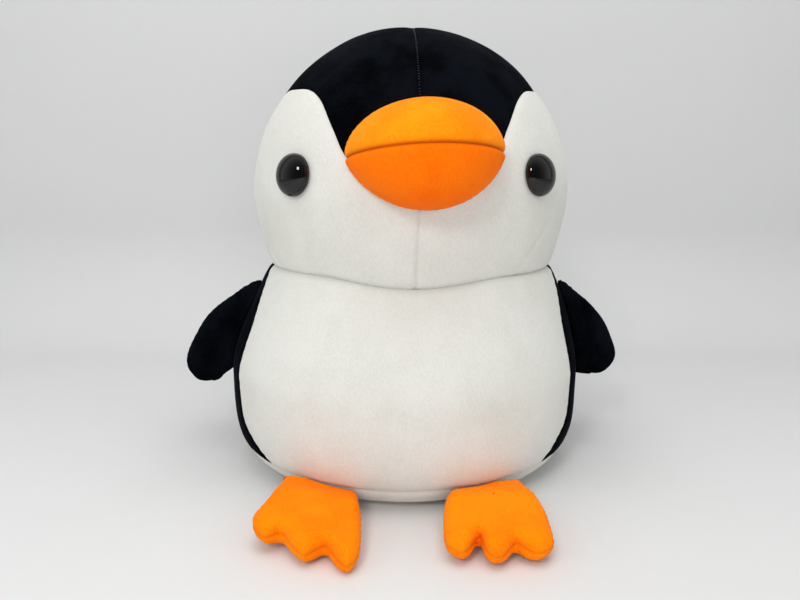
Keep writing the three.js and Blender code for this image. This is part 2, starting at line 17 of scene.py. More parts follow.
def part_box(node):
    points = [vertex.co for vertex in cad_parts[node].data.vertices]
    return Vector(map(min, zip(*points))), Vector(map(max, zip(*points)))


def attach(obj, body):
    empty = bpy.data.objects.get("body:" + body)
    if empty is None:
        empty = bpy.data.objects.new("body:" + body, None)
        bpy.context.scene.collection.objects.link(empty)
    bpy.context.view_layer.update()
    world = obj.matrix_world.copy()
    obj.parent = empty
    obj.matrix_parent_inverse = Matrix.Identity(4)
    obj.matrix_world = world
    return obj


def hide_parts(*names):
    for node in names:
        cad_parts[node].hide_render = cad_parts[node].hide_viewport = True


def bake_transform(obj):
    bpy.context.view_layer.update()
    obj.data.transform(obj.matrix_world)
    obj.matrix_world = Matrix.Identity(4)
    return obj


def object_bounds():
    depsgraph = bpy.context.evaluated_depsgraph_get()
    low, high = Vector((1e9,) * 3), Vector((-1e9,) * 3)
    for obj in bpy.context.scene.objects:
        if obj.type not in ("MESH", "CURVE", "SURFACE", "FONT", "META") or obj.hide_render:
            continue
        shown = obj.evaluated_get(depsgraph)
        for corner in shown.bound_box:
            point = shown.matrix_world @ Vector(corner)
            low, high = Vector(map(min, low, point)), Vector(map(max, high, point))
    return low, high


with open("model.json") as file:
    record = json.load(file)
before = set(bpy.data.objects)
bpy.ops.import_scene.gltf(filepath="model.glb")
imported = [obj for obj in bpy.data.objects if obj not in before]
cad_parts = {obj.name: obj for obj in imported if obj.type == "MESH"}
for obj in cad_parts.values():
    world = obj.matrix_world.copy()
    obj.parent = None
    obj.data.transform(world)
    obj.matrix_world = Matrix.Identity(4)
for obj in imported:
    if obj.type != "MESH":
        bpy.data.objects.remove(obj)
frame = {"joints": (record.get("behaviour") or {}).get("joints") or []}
CAD_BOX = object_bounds()
JOINTS = {joint["name"]: joint for joint in frame["joints"]}
MM = 0.001
SIDES = {"left": -1, "right": 1}

# %% [markdown]
# ## Camera and stage
# The toy sits on a white table in front of a pale sweep, a sheet that curves from the floor up
# to the wall so that no corner shows. A sweep could be a bent plane. Here it is one profile,
# extruded across, which keeps the curve even. Its paper is clear from behind, so that a camera
# behind the wall still sees the toy's back.

# %% Camera
CAMERA_LENS = 28.0  # millimetres, as the sensor's width is
CAMERA_PLACE = (-3.8 * MM, -535 * MM, 235 * MM)
CAMERA_DOWN = math.radians(11.27)
SENSOR_WIDTH = 36
NEAREST_SEEN = 0.01


def add_camera():
    bpy.ops.object.camera_add(location=CAMERA_PLACE, rotation=(math.pi / 2 - CAMERA_DOWN, 0, 0))
    camera = bpy.context.object
    camera.name = "camera"
    camera.data.lens = CAMERA_LENS
    camera.data.sensor_width = SENSOR_WIDTH
    camera.data.clip_start = NEAREST_SEEN
    bpy.context.scene.camera = camera
    return camera


print("camera at", tuple(add_camera().location))

# %% Helpers for meshes


def deselect():
    """Leave edit mode and deselect everything, so that an operator acts on the next choice only."""
    if bpy.context.object and bpy.context.object.mode != "OBJECT":
        bpy.ops.object.mode_set(mode="OBJECT")
    bpy.ops.object.select_all(action="DESELECT")


def choose(piece):
    deselect()
    piece.select_set(True)
    bpy.context.view_layer.objects.active = piece


def points_of(piece):
    places = np.empty(len(piece.data.vertices) * 3)
    piece.data.vertices.foreach_get("co", places)
    return places.reshape(-1, 3)


def move_points(piece, places):
    piece.data.vertices.foreach_set("co", np.asarray(places, dtype=float).ravel())
    piece.data.update()


def finish_modifier(piece, kind, **settings):
    """Add a modifier, set it and apply it."""
    choose(piece)
    modifier = piece.modifiers.new(kind.title(), kind)
    for key, value in settings.items():
        setattr(modifier, key, value)
    bpy.ops.object.modifier_apply(modifier=modifier.name)


def edit(piece, *steps):
    """Run edit-mode steps with the whole mesh selected at the start."""
    choose(piece)
    bpy.ops.object.mode_set(mode="EDIT")
    bpy.ops.mesh.select_all(action="SELECT")
    for step in steps:
        step()
    bpy.ops.object.mode_set(mode="OBJECT")


def merge_close(distance=0.01 * MM):
    bpy.ops.mesh.remove_doubles(threshold=distance)


# %% The sweep behind the toy
FLOOR_FRONT = 2.2
SWEEP_HALF = 3.3
SWEEP_START = 0.27  # the sheet lies flat up to here
SWEEP_RADIUS = 0.16
SWEEP_POINTS = 25
WALL_TOP = 2.6
PAPER_TONE = (0.685, 0.69, 0.685)
PAPER_TOOTH = 0.98  # how much of its tone the paper keeps between its fibres
TOOTH_SCALE = 60.0


def add_sweep():
    deselect()
    bpy.ops.mesh.primitive_plane_add(size=2)
    sweep = bpy.context.object
    sweep.name = "sweep"
    edit(sweep, lambda: bpy.ops.mesh.delete(type="ONLY_FACE"))
    sweep.data.clear_geometry()
    bend = [
        (SWEEP_START + SWEEP_RADIUS * math.sin(angle), SWEEP_RADIUS * (1 - math.cos(angle)))
        for angle in np.linspace(0, math.pi / 2, SWEEP_POINTS)
    ]
    profile = [(-FLOOR_FRONT, 0), *bend, (SWEEP_START + SWEEP_RADIUS, WALL_TOP)]
    line = [(SWEEP_HALF, y, z) for y, z in profile]
    sweep.data.from_pydata(line, [(i, i + 1) for i in range(len(line) - 1)], [])
    across = {"value": (-2 * SWEEP_HALF, 0, 0)}
    edit(sweep, lambda: bpy.ops.mesh.extrude_region_move(TRANSFORM_OT_translate=across))
    choose(sweep)
    bpy.ops.object.shade_smooth()
    return sweep


def paper(name, shade):
    """Matt paper with a very faint tooth, clear from behind."""
    material = bpy.data.materials.new(name)
    material.use_nodes = True
    tree = material.node_tree
    shader = tree.nodes["Principled BSDF"]
    place = tree.nodes.new("ShaderNodeTexCoord")
    tooth = tree.nodes.new("ShaderNodeTexNoise")
    tooth.inputs["Scale"].default_value = TOOTH_SCALE
    ramp = tree.nodes.new("ShaderNodeMix")
    ramp.data_type = "RGBA"
    ramp.inputs[6].default_value = (*[PAPER_TOOTH * value for value in shade], 1)
    ramp.inputs[7].default_value = (*shade, 1)
    tree.links.new(place.outputs["Object"], tooth.inputs["Vector"])
    tree.links.new(tooth.outputs["Fac"], ramp.inputs[0])
    tree.links.new(ramp.outputs[2], shader.inputs["Base Color"])
    facing = tree.nodes.new("ShaderNodeNewGeometry")
    clear = tree.nodes.new("ShaderNodeMath")
    clear.operation = "SUBTRACT"
    clear.inputs[0].default_value = 1.0
    tree.links.new(facing.outputs["Backfacing"], clear.inputs[1])
    tree.links.new(clear.outputs[0], shader.inputs["Alpha"])
    shader.inputs["Roughness"].default_value = 0.6
    shader.inputs["Specular IOR Level"].default_value = 0.2
    return material


sweep = add_sweep()
sweep.data.materials.append(paper("paper", PAPER_TONE))
print("sweep", tuple(round(v, 2) for v in sweep.dimensions))

# %% [markdown]
# ## The form of the figure
# Head and body are stuffed so tightly that they stay close to smooth solids. Each is a stack of
# rings: an arch gives the ring's radius at a height, and a share gives its depth from front to
# back. The same few numbers shape the CAD skins, so a fine panel laid on this form fits them.

# %% Sizes of the form
HEIGHT = CAD_BOX[1].z
NECK = (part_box("belly_panel")[1].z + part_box("cheek_left")[0].z) / 2
BASE_SEAM = (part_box("base_panel")[1].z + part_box("belly_panel")[0].z) / 2
HEAD_RADIUS = 128.5 * MM
HEAD_LEVEL = 221 * MM
NECK_RADIUS = 117 * MM
BODY_RADIUS = 147 * MM
BODY_LEVEL = 80 * MM
UNDER_CUT = 8 * MM
HEAD_SHIFT = 4.8 * MM
DEPTH_BLEND = 50 * MM
NECK_CLIMB = {"left": 5 * MM, "right": 4.2 * MM}
NECK_CLIMB_START = (math.radians(3), math.radians(36))
NECK_CLIMB_END = (math.radians(80), math.radians(125))
NECK_DIP = 1.5 * MM
NECK_RISE_FADE = 26 * MM
POWERS = {"crown": 1.96, "jaw": 1.5, "shoulder": 1.4, "under": 4.6}
DEPTHS = {"head": 0.95, "belly": 0.974, "back": 0.88}


def arch(widest, share, power):
    return widest * np.clip(1 - np.abs(share) ** power, 0, None) ** (1 / power)


def arch_reach(widest, narrow, rise, power):
    return rise / (1 - (narrow / widest) ** power) ** (1 / power)


def body_radius(level):
    reach = arch_reach(BODY_RADIUS, NECK_RADIUS, NECK - BODY_LEVEL, POWERS["shoulder"])
    shoulder = arch(BODY_RADIUS, np.maximum(level - BODY_LEVEL, 0) / reach, POWERS["shoulder"])
    drop = np.maximum(BODY_LEVEL - level, 0) / (BODY_LEVEL + UNDER_CUT)
    under = arch(BODY_RADIUS, drop, POWERS["under"])
    return np.where(level > BODY_LEVEL, shoulder, under)


def head_radius(level):
    reach = arch_reach(HEAD_RADIUS, NECK_RADIUS, HEAD_LEVEL - NECK, POWERS["jaw"])
    rise = np.clip((level - HEAD_LEVEL) / (HEIGHT - HEAD_LEVEL), 0, 1)
    crown = arch(HEAD_RADIUS, rise, POWERS["crown"])
    jaw = arch(HEAD_RADIUS, np.maximum(HEAD_LEVEL - level, 0) / reach, POWERS["jaw"])
    return np.where(level > HEAD_LEVEL, crown, jaw)


def smooth(value, low, high):
    share = np.clip((value - low) / (high - low), 0, 1)
    return share * share * (3 - 2 * share)


def neck_rise(azimuth):
    """The neck seam climbs on both sides of the chin, and is level again behind the wings."""
    away = np.abs((azimuth + math.pi) % (2 * math.pi) - math.pi)
    climb = np.where(azimuth < 0, NECK_CLIMB["left"], NECK_CLIMB["right"])
    front = smooth(away, *NECK_CLIMB_START) * (1 - smooth(away, *NECK_CLIMB_END))
    return climb * front - NECK_DIP * (1 - smooth(away, 0, NECK_CLIMB_START[1]))


def on_figure(azimuth, radius, level):
    """A point at an azimuth from the front, a ring radius and a height, as arrays."""
    fall = np.clip((NECK - level) / DEPTH_BLEND, 0, 1)
    side = np.where(np.cos(azimuth) > 0, DEPTHS["belly"], DEPTHS["back"])
    depth = DEPTHS["head"] + (side - DEPTHS["head"]) * fall
    lean = HEAD_SHIFT * smooth(level, BODY_LEVEL, NECK)
    height = level + neck_rise(azimuth) * np.exp(-(((level - NECK) / NECK_RISE_FADE) ** 2))
    across = radius * np.sin(azimuth) + lean
    return np.stack([across, -radius * depth * np.cos(azimuth), height], -1)


def on_head(azimuth, level):
    return on_figure(azimuth, head_radius(level), level)


def on_body(azimuth, level):
    return on_figure(azimuth, body_radius(level), level)


def crown_level(elevation):
    return HEAD_LEVEL + (HEIGHT - HEAD_LEVEL) * math.sin(math.radians(elevation))


print("neck", round(NECK, 4), "base seam", round(BASE_SEAM, 4), "height", round(HEIGHT, 4))

# %% [markdown]
# ## Panels from their seams
# A panel could be cut from a sphere, but then its edges would be jagged where the seam crosses
# the sphere's faces. Here each panel is its own grid, stretched between its four seams, so the
# mesh runs along every seam. The rows are closer near the seams, where the cloth bends most.

# %% Curves and patches
EDGE_CROWDING = 0.7  # 0 spaces the rows evenly, and near 1 packs them against the seams
SPLINE_STEPS = 24


def steps(count):
    even = np.linspace(0, 1, count)
    return even - EDGE_CROWDING * np.sin(2 * math.pi * even) / (2 * math.pi)


def between(here, there, start, end, t):
    return ((end - t) * here + (t - start) * there) / (end - start)


def spline(points, closed=False):
    """A fine curve through the points (a centripetal Catmull-Rom spline, which makes no loops)."""
    points = np.asarray(points, float)
    if closed:
        padded = np.vstack([points[-1], points, points[:2]])
    else:
        padded = np.vstack([2 * points[0] - points[1], points, 2 * points[-1] - points[-2]])
    fine = []
    for corners in zip(padded, padded[1:], padded[2:], padded[3:]):
        knots = [0.0]
        for here, there in zip(corners, corners[1:]):
            knots.append(knots[-1] + max(np.linalg.norm(there - here) ** 0.5, 1e-6))
        t = np.linspace(knots[1], knots[2], SPLINE_STEPS, endpoint=False)[:, None]
        first = [between(corners[i], corners[i + 1], knots[i], knots[i + 1], t) for i in range(3)]
        second = [between(first[i], first[i + 1], knots[i], knots[i + 2], t) for i in range(2)]
        fine.append(between(*second, knots[1], knots[2], t))
    return np.vstack([*fine, points[:1] if closed else points[-1:]])


def resample(curve, shares):
    """Points along a fine curve at the given shares of its length."""
    length = np.concatenate([[0], np.cumsum(np.linalg.norm(np.diff(curve, axis=0), axis=1))])
    wanted = shares * length[-1]
    return np.stack([np.interp(wanted, length, curve[:, i]) for i in range(curve.shape[1])], -1)


def patch(bottom, top, left, right):
    """A grid stretched between four edges (a Coons patch). Rows run from bottom to top."""
    u = steps(len(bottom))[None, :, None]
    v = steps(len(left))[:, None, None]
    across = (1 - v) * bottom[None] + v * top[None]
    upwards = (1 - u) * left[:, None] + u * right[:, None]
    low = (1 - u) * bottom[0] + u * bottom[-1]
    high = (1 - u) * top[0] + u * top[-1]
    return across + upwards - ((1 - v) * low + v * high)


def normals_of(places):
    across = np.gradient(places, axis=1)
    upwards = np.gradient(places, axis=0)
    normal = np.cross(across, upwards)
    return normal / np.maximum(np.linalg.norm(normal, axis=-1, keepdims=True), 1e-12)


def run_along(places, axis):
    """Distance from the first row or column, measured along the grid."""
    gaps = np.linalg.norm(np.diff(places, axis=axis), axis=-1)
    start = np.zeros_like(np.take(gaps, [0], axis=axis))
    return np.concatenate([start, np.cumsum(gaps, axis=axis)], axis=axis)


# %% [markdown]
# ## Seams, puckers and lumps
# Two layers sewn together turn inwards at the stitches, which makes the groove. The thread also
# gathers the cloth a little, so short folds run out from the seam and fade. Further in, loose
# filling pushes the cloth up in low uneven lumps. All three are small moves along the normal.
# A sculpting brush could make them, and a function makes them the same each time.

# %% How cloth behaves beside a seam
GROOVE_WIDTH = 2.4 * MM
GROOVE_POWER = 1.3  # 1 is a sharp crease, and 2 is a round one
SWELL_WIDTH = 9 * MM
PUCKER_REACH = 10 * MM
PUCKER_WANDER = 4.8  # how far, in radians, a gather strays from its even pitch
PUCKER_START = 1.2 * MM
TURN_IN = 7 * MM
SEAM_SHADE = 1.2 * MM
LARGE_LUMP = 42 * MM
SMALL_LUMP = 15 * MM
SMALL_SHARE = 0.35


def field(places, size, seed=0.0):
    """Smooth noise from -1 to 1 at each point, with lumps of about the given size."""
    flat = np.asarray(places).reshape(-1, 3) / size
    shift = Vector((seed * 7.3, seed * 3.1, seed * 5.7))
    found = [noise.noise(Vector(p) + shift) for p in flat]
    return np.array(found).reshape(np.asarray(places).shape[:-1])


def seam_profile(distance, along, places, depth, pucker, pitch, width=GROOVE_WIDTH):
    """Height of the cloth at a distance from a seam: groove, swell and gathers."""
    groove = -depth * np.exp(-((distance / width) ** GROOVE_POWER))
    stray = PUCKER_WANDER * field(places, 22 * MM, 2)
    wave = np.sin(2 * math.pi * along / pitch + stray)
    reach = PUCKER_REACH * (0.75 + 0.6 * field(places, 16 * MM, 5))
    gather = pucker * wave * np.exp(-distance / reach) * (distance / (distance + PUCKER_START))
    return groove + gather


def dress(places, seams, lumps=0.7 * MM, swell=0.0, seed=1.0, level=()):
    """Move a panel's grid along its normals. seams names the sides and how each is sewn.

    At a side named in level, the panel meets another at an angle, and both turn straight inwards.
    The result has a fourth value at each point: 1 on a seam, and 0 away from it. It masks the
    painted shade along the seam grooves.
    """
    normal = normals_of(places)
    across = run_along(places, 1)
    upwards = run_along(places, 0)
    distance = {
        "left": across,
        "right": across[:, -1:] - across,
        "bottom": upwards,
        "top": upwards[-1:] - upwards,
    }
    out = places * (1, 1, 0)
    out = out / np.maximum(np.linalg.norm(out, axis=-1, keepdims=True), 1e-9)
    for side in level:
        share = smooth(distance[side], 0, TURN_IN)[..., None]
        normal = normal * share + out * (1 - share)
    normal = normal / np.linalg.norm(normal, axis=-1, keepdims=True)
    small = SMALL_SHARE * lumps * field(places, SMALL_LUMP, seed + 3)
    height = lumps * field(places, LARGE_LUMP, seed) + small
    height = height * smooth(np.min(list(distance.values()), axis=0), 0, 4 * MM)
    nearest = np.full(places.shape[:2], 1.0)
    for side, sewing in seams.items():
        along = upwards if side in ("left", "right") else across
        height = height + seam_profile(distance[side], along, places, *sewing)
        nearest = np.minimum(nearest, distance[side])
    height = height + swell * (1 - np.exp(-nearest / SWELL_WIDTH))
    # How sewn each point is: the mask of the painted shade down in the seam grooves.
    sewn = np.exp(-((nearest / SEAM_SHADE) ** 2))
    return np.concatenate([places + normal * height[..., None], sewn[..., None]], -1)


# %% From a grid of places to a cloth piece
CLOTH = 1.3 * MM
SHARP_FROM = math.radians(50)


def cloth_grid(name, places):
    """A grid primitive with its points at the given places, and how sewn each one is, which masks
    the painted seam shade.
    """
    rows, columns = places.shape[:2]
    deselect()
    bpy.ops.mesh.primitive_grid_add(x_subdivisions=columns - 1, y_subdivisions=rows - 1, size=2)
    piece = bpy.context.object
    piece.name = piece.data.name = name
    flat = points_of(piece)
    column = np.rint((flat[:, 0] + 1) / 2 * (columns - 1)).astype(int)
    row = np.rint((flat[:, 1] + 1) / 2 * (rows - 1)).astype(int)
    move_points(piece, places[row, column, :3])
    sewn = piece.data.attributes.new("sewn", "FLOAT", "POINT")
    sewn.data.foreach_set("value", places[row, column, 3])
    return piece


def thicken(piece, thickness=CLOTH):
    """Give an open sheet its thickness inwards, which closes it into a shell."""
    finish_modifier(piece, "SOLIDIFY", thickness=thickness, offset=-1, use_rim=True)
    choose(piece)
    bpy.ops.object.shade_smooth_by_angle(angle=SHARP_FROM)
    return piece


def report(piece):
    size = [round(value / MM) for value in piece.dimensions]
    print(piece.name, len(piece.data.polygons), "faces", size, "mm")


def finish_panel(piece, body, material, nodes):
    piece.data.materials.clear()
    piece.data.materials.append(material)
    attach(piece, body)
    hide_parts(*nodes)
    report(piece)


# %% [markdown]
# ## Short-pile plush
# The cloth is a knit with a pile about a millimetre deep. Close up it is a fine grain, further
# off it shows patches where the pile lies one way or the other, and towards an edge the fibre
# tips catch light. The grain and the patches are a node group that every colour shares.
# The bright edge is the shader's own sheen, which follows the light and not a painted mask.

# %% The pile node group
GRAIN_SCALE = 900.0


def new_group(name, inputs, outputs):
    group = bpy.data.node_groups.new(name, "ShaderNodeTree")
    for label, kind, value in inputs:
        socket = group.interface.new_socket(label, in_out="INPUT", socket_type=kind)
        socket.default_value = value
    for label, kind in outputs:
        group.interface.new_socket(label, in_out="OUTPUT", socket_type=kind)
    return group, group.nodes.new("NodeGroupInput"), group.nodes.new("NodeGroupOutput")


def add_noise(group, coordinates, scale, detail, roughness=0.55):
    texture = group.nodes.new("ShaderNodeTexNoise")
    texture.inputs["Scale"].default_value = scale
    texture.inputs["Detail"].default_value = detail
    texture.inputs["Roughness"].default_value = roughness
    group.links.new(coordinates, texture.inputs["Vector"])
    return texture.outputs["Fac"]


def add_math(group, operation, first, second):
    node = group.nodes.new("ShaderNodeMath")
    node.operation = operation
    for socket, value in zip(node.inputs, (first, second)):
        if isinstance(value, (int, float)):
            socket.default_value = value
        else:
            group.links.new(value, socket)
    return node.outputs[0]


def add_sum(group, first, first_share, second, second_share):
    """Two values added, each in its share."""
    parts = [
        add_math(group, "MULTIPLY", value, share)
        for value, share in ((first, first_share), (second, second_share))
    ]
    return add_math(group, "ADD", *parts)


def add_range(group, value, low, high, to_low, to_high):
    node = group.nodes.new("ShaderNodeMapRange")
    node.interpolation_type = "SMOOTHSTEP"
    group.links.new(value, node.inputs["Value"])
    for socket, number in zip(list(node.inputs)[1:5], (low, high, to_low, to_high)):
        if isinstance(number, (int, float)):
            socket.default_value = number
        else:
            group.links.new(number, socket)
    return node.outputs[0]


def add_mix(group, share, first, second):
    node = group.nodes.new("ShaderNodeMix")
    node.data_type = "RGBA"
    group.links.new(share, node.inputs[0])
    for socket, value in ((node.inputs[6], first), (node.inputs[7], second)):
        if isinstance(value, tuple):
            socket.default_value = value
        else:
            group.links.new(value, socket)
    return node.outputs[2]


def pile_group():
    """Grain, nap patches and stray fibres: a colour, a height and a roughness."""
    inputs = [
        ("Coordinates", "NodeSocketVector", (0, 0, 0)),
        ("Dark", "NodeSocketColor", (0.1, 0.1, 0.1, 1)),
        ("Light", "NodeSocketColor", (0.5, 0.5, 0.5, 1)),
        ("Nap", "NodeSocketFloat", 0.5),
    ]
    outputs = [
        ("Color", "NodeSocketColor"),
        ("Height", "NodeSocketFloat"),
        ("Roughness", "NodeSocketFloat"),
    ]
    group, entry, leave = new_group("short_pile", inputs, outputs)
    where = entry.outputs["Coordinates"]
    stretch = group.nodes.new("ShaderNodeMapping")
    stretch.inputs["Scale"].default_value = (1.0, 1.0, 0.45)
    group.links.new(where, stretch.inputs["Vector"])
    fibre = add_noise(group, stretch.outputs[0], GRAIN_SCALE, 2.0, 0.6)
    tuft = add_noise(group, where, 330.0, 2.0)
    brushed = add_noise(group, where, 17.0, 3.0, 0.6)
    smear = add_noise(group, stretch.outputs[0], 55.0, 2.0, 0.5)
    patches = add_sum(group, brushed, 0.68, smear, 0.32)
    nap = add_range(group, patches, 0.40, 0.62, 0.0, 1.0)
    nap = add_math(group, "MULTIPLY", nap, entry.outputs["Nap"])
    grain = add_range(group, fibre, 0.32, 0.68, 0.0, 1.0)
    share = add_sum(group, grain, 0.45, nap, 1.0)
    colour = add_mix(group, share, entry.outputs["Dark"], entry.outputs["Light"])
    height = add_sum(group, fibre, 0.6, tuft, 0.4)
    rough = add_range(group, nap, 0.0, 1.0, 0.95, 0.8)
    group.links.new(colour, leave.inputs["Color"])
    group.links.new(height, leave.inputs["Height"])
    group.links.new(rough, leave.inputs["Roughness"])
    return group


PILE = pile_group()
print("pile group with", len(PILE.nodes), "nodes")

# %% [markdown]
# ## The plush colours
# Black plush is never flat black: the brushed side turns navy and the fibre tips glow cold.
# White plush is slightly warm and shows its grain mostly as tiny shadows. Orange keeps its
# strength in the shade, because light passes from fibre to fibre, so its dark tone is still
# a full orange. The beak's upper half gets a lighter copy of the orange, painted light for its
# lit top, and the feet get a lighter orange as well. Each cloth is the same group with its own
# two tones, nap, bump and sheen, and painted shade darkens it along its seam grooves.

# %% The plush materials


def new_material(name):
    material = bpy.data.materials.new(name)
    material.use_nodes = True
    return material, material.node_tree, material.node_tree.nodes["Principled BSDF"]


# The seams get painted shade: down in a groove, the colour falls towards this share of the dark
# tone.
SEAM_SHADE_TONE = 0.45  # how much of its dark tone the cloth keeps down in a seam
PILE_DEPTH = 0.9 * MM


def plush(name, dark, light, nap, bump, sheen, tint, thread, shine=0.12):
    """Short-pile cloth. Thread is how much painted shade darkens its seam grooves, and shine its
    specular level.
    """
    material, tree, shader = new_material(name)
    place = tree.nodes.new("ShaderNodeTexCoord")
    pile = tree.nodes.new("ShaderNodeGroup")
    pile.node_tree = PILE
    pile.inputs["Dark"].default_value = (*dark, 1)
    pile.inputs["Light"].default_value = (*light, 1)
    pile.inputs["Nap"].default_value = nap
    relief = tree.nodes.new("ShaderNodeBump")
    relief.inputs["Strength"].default_value = bump
    relief.inputs["Distance"].default_value = PILE_DEPTH
    tree.links.new(place.outputs["Object"], pile.inputs["Coordinates"])
    # Painted shade: along the seam grooves, the colour is darkened by the sewn mask times thread.
    seam = tree.nodes.new("ShaderNodeAttribute")
    seam.attribute_name = "sewn"
    seam_shade_share = add_math(tree, "MULTIPLY", seam.outputs["Fac"], thread)
    tone = add_mix(tree, seam_shade_share, pile.outputs["Color"], (*[SEAM_SHADE_TONE * value for value in dark], 1))
    tree.links.new(tone, shader.inputs["Base Color"])
    tree.links.new(pile.outputs["Roughness"], shader.inputs["Roughness"])
    tree.links.new(pile.outputs["Height"], relief.inputs["Height"])
    tree.links.new(relief.outputs["Normal"], shader.inputs["Normal"])
    shader.inputs["Specular IOR Level"].default_value = shine
    shader.inputs["Sheen Weight"].default_value = sheen
    shader.inputs["Sheen Roughness"].default_value = 0.45
    shader.inputs["Sheen Tint"].default_value = (*tint, 1)
    return material


BLACK = plush(
    "black_plush", (0.0003, 0.0004, 0.0006), (0.0028, 0.0038, 0.0062),
    nap=0.9, bump=0.6, sheen=0.006, tint=(0.5, 0.6, 0.8), thread=0.5, shine=0.02,
)
WHITE = plush(
    "white_plush", (0.62, 0.62, 0.572), (0.715, 0.715, 0.68),
    nap=0.35, bump=0.4, sheen=0.2, tint=(1.0, 0.99, 0.95), thread=0.14,
)
ORANGE = plush(
    "orange_plush", (0.95, 0.13, 0.0003), (1.0, 0.2, 0.0006),
    nap=0.45, bump=0.5, sheen=0.1, tint=(1.0, 0.6, 0.1), thread=0.75,
)
# A lighter copy of the orange for the beak's upper half: painted light, for the light that falls on
# its top.
LIT_TOP_ORANGE = plush(
    "orange_plush_lit_top", (1.0, 0.2, 0.001), (1.0, 0.32, 0.004),
    nap=0.45, bump=0.5, sheen=0.12, tint=(1.0, 0.7, 0.2), thread=0.75,
)
FOOT_ORANGE = plush(
    "orange_plush_feet", (1.0, 0.18, 0.0005), (1.0, 0.28, 0.001),
    nap=0.5, bump=0.6, sheen=0.1, tint=(1.0, 0.65, 0.15), thread=0.3,
)
print("plush:", [cloth.name for cloth in (BLACK, WHITE, ORANGE, LIT_TOP_ORANGE, FOOT_ORANGE)])

# %% [markdown]
# ## Body panels
# The body is four panels: one white panel in front from side seam to side seam, two black ones
# that meet down the spine, and a white base. Each could be cut from one round solid. Here each
# is its own grid between its seams, so that the seams can curve: they run forward to the hem,
# and back to the neck, where the front panel is widest.

# %% Seams of the body
SIDE_BASE = math.radians(46)
SIDE_LOW = math.radians(64)
SIDE_NECK = math.radians(77)
CHEST = (BODY_LEVEL + NECK) / 2


def side_seam(side, count):
    """The seam from the base up to the neck, as azimuth and height."""
    base, low = side * SIDE_BASE, side * SIDE_LOW
    rise = BODY_LEVEL - BASE_SEAM
    keys = [
        (base, BASE_SEAM),
        (base + 0.5 * (low - base), BASE_SEAM + 0.27 * rise),
        (base + 0.86 * (low - base), BASE_SEAM + 0.5 * rise),
        (low, BODY_LEVEL),
        (low * 1.02, CHEST),
        (side * SIDE_NECK, NECK),
    ]
    scaled = spline(np.array(keys) * (BODY_RADIUS, 1))
    return resample(scaled, steps(count)) / (BODY_RADIUS, 1)


def ring_at(level, start, end, count):
    return np.stack([start + (end - start) * steps(count), np.full(count, level)], -1)


def spine(side, count):
    levels = BASE_SEAM + (NECK - BASE_SEAM) * steps(count)
    return np.stack([np.full(count, side * math.pi), levels], -1)


SIDE_SEAM = (1.7 * MM, 0.3 * MM, 8 * MM)
SPINE_SEAM = (1.5 * MM, 0.3 * MM, 8 * MM)
HEM = (1.5 * MM, 0.3 * MM, 9 * MM)
NECK_SEAM = (2.0 * MM, 0.25 * MM, 6 * MM, 1.8 * MM)

# %% Belly and backs


def body_panel(name, left, right, seams, seed):
    bottom = ring_at(BASE_SEAM, left[0][0], right[0][0], PANEL_COLUMNS)
    top = ring_at(NECK, left[-1][0], right[-1][0], PANEL_COLUMNS)
    flat = patch(bottom, top, left, right)
    places = on_body(flat[..., 0], flat[..., 1])
    places = dress(places, seams, swell=BODY_SWELL, seed=seed, level=("top", "bottom"))
    return cloth_grid(name, places)


PANEL_COLUMNS = 150
PANEL_ROWS = 84
BODY_SWELL = 1.0 * MM

fronts = [side_seam(side, PANEL_ROWS) for side in (-1, 1)]
spines = [spine(side, PANEL_ROWS) for side in (-1, 1)]
PANELS = {  # left edge, right edge, how each is sewn, and the cloth
    "belly_panel": (fronts[0], fronts[1], SIDE_SEAM, SIDE_SEAM, "white_plush", WHITE),
    "back_right": (fronts[1], spines[1], SIDE_SEAM, SPINE_SEAM, "black_plush", BLACK),
    "back_left": (spines[0], fronts[0], SPINE_SEAM, SIDE_SEAM, "black_plush", BLACK),
}
for seed, (node, settings) in enumerate(PANELS.items(), 1):
    left, right, left_sewing, right_sewing, slot, cloth = settings
    sewing = {"left": left_sewing, "right": right_sewing, "top": NECK_SEAM, "bottom": HEM}
    piece = body_panel(node.replace("_panel", "") + "_cloth", left, right, sewing, seed)
    finish_panel(thicken(piece), "torso", cloth, [node])

# %% [markdown]
# ## Base panel
# The base carries the weight, so its middle is pressed flat on the table and only its rim curls
# up to the hem. A disc of rings suits it: the rings near the rim follow the form, and the ones
# inside lie in one plane just above the table.

# %% The base
TABLE_GAP = 0.05 * MM
BASE_RINGS = 30
BASE_COLUMNS = 160


def base_panel():
    levels = BASE_SEAM * (1 - np.sin(np.linspace(0, math.pi / 2, BASE_RINGS // 2)))
    azimuth = np.linspace(-math.pi, math.pi, BASE_COLUMNS)
    curl = on_body(azimuth[None, :] + 0 * levels[:, None], levels[:, None] + 0 * azimuth[None, :])
    shares = np.linspace(1, 0, BASE_RINGS)[1:, None, None]
    flat = curl[-1:] * shares
    places = np.concatenate([curl, flat])[::-1]
    places = dress(places, {"top": HEM}, lumps=0.0, level=("top",))
    places[..., 2] = np.maximum(places[..., 2], TABLE_GAP)
    piece = cloth_grid("base_cloth", places)
    edit(piece, merge_close)
    return piece


finish_panel(thicken(base_panel()), "torso", WHITE, ["base_panel"])

# %% [markdown]
# ## Head panels
# The head is four panels: two white cheeks that meet under the chin, and two black crown panels
# that run from the beak over the top and down the back. A grid of azimuths and heights would
# pinch at the top of the head. So these grids are stretched between their seams as straight
# strings in space, and each point is then pushed out from the head's middle onto its surface.

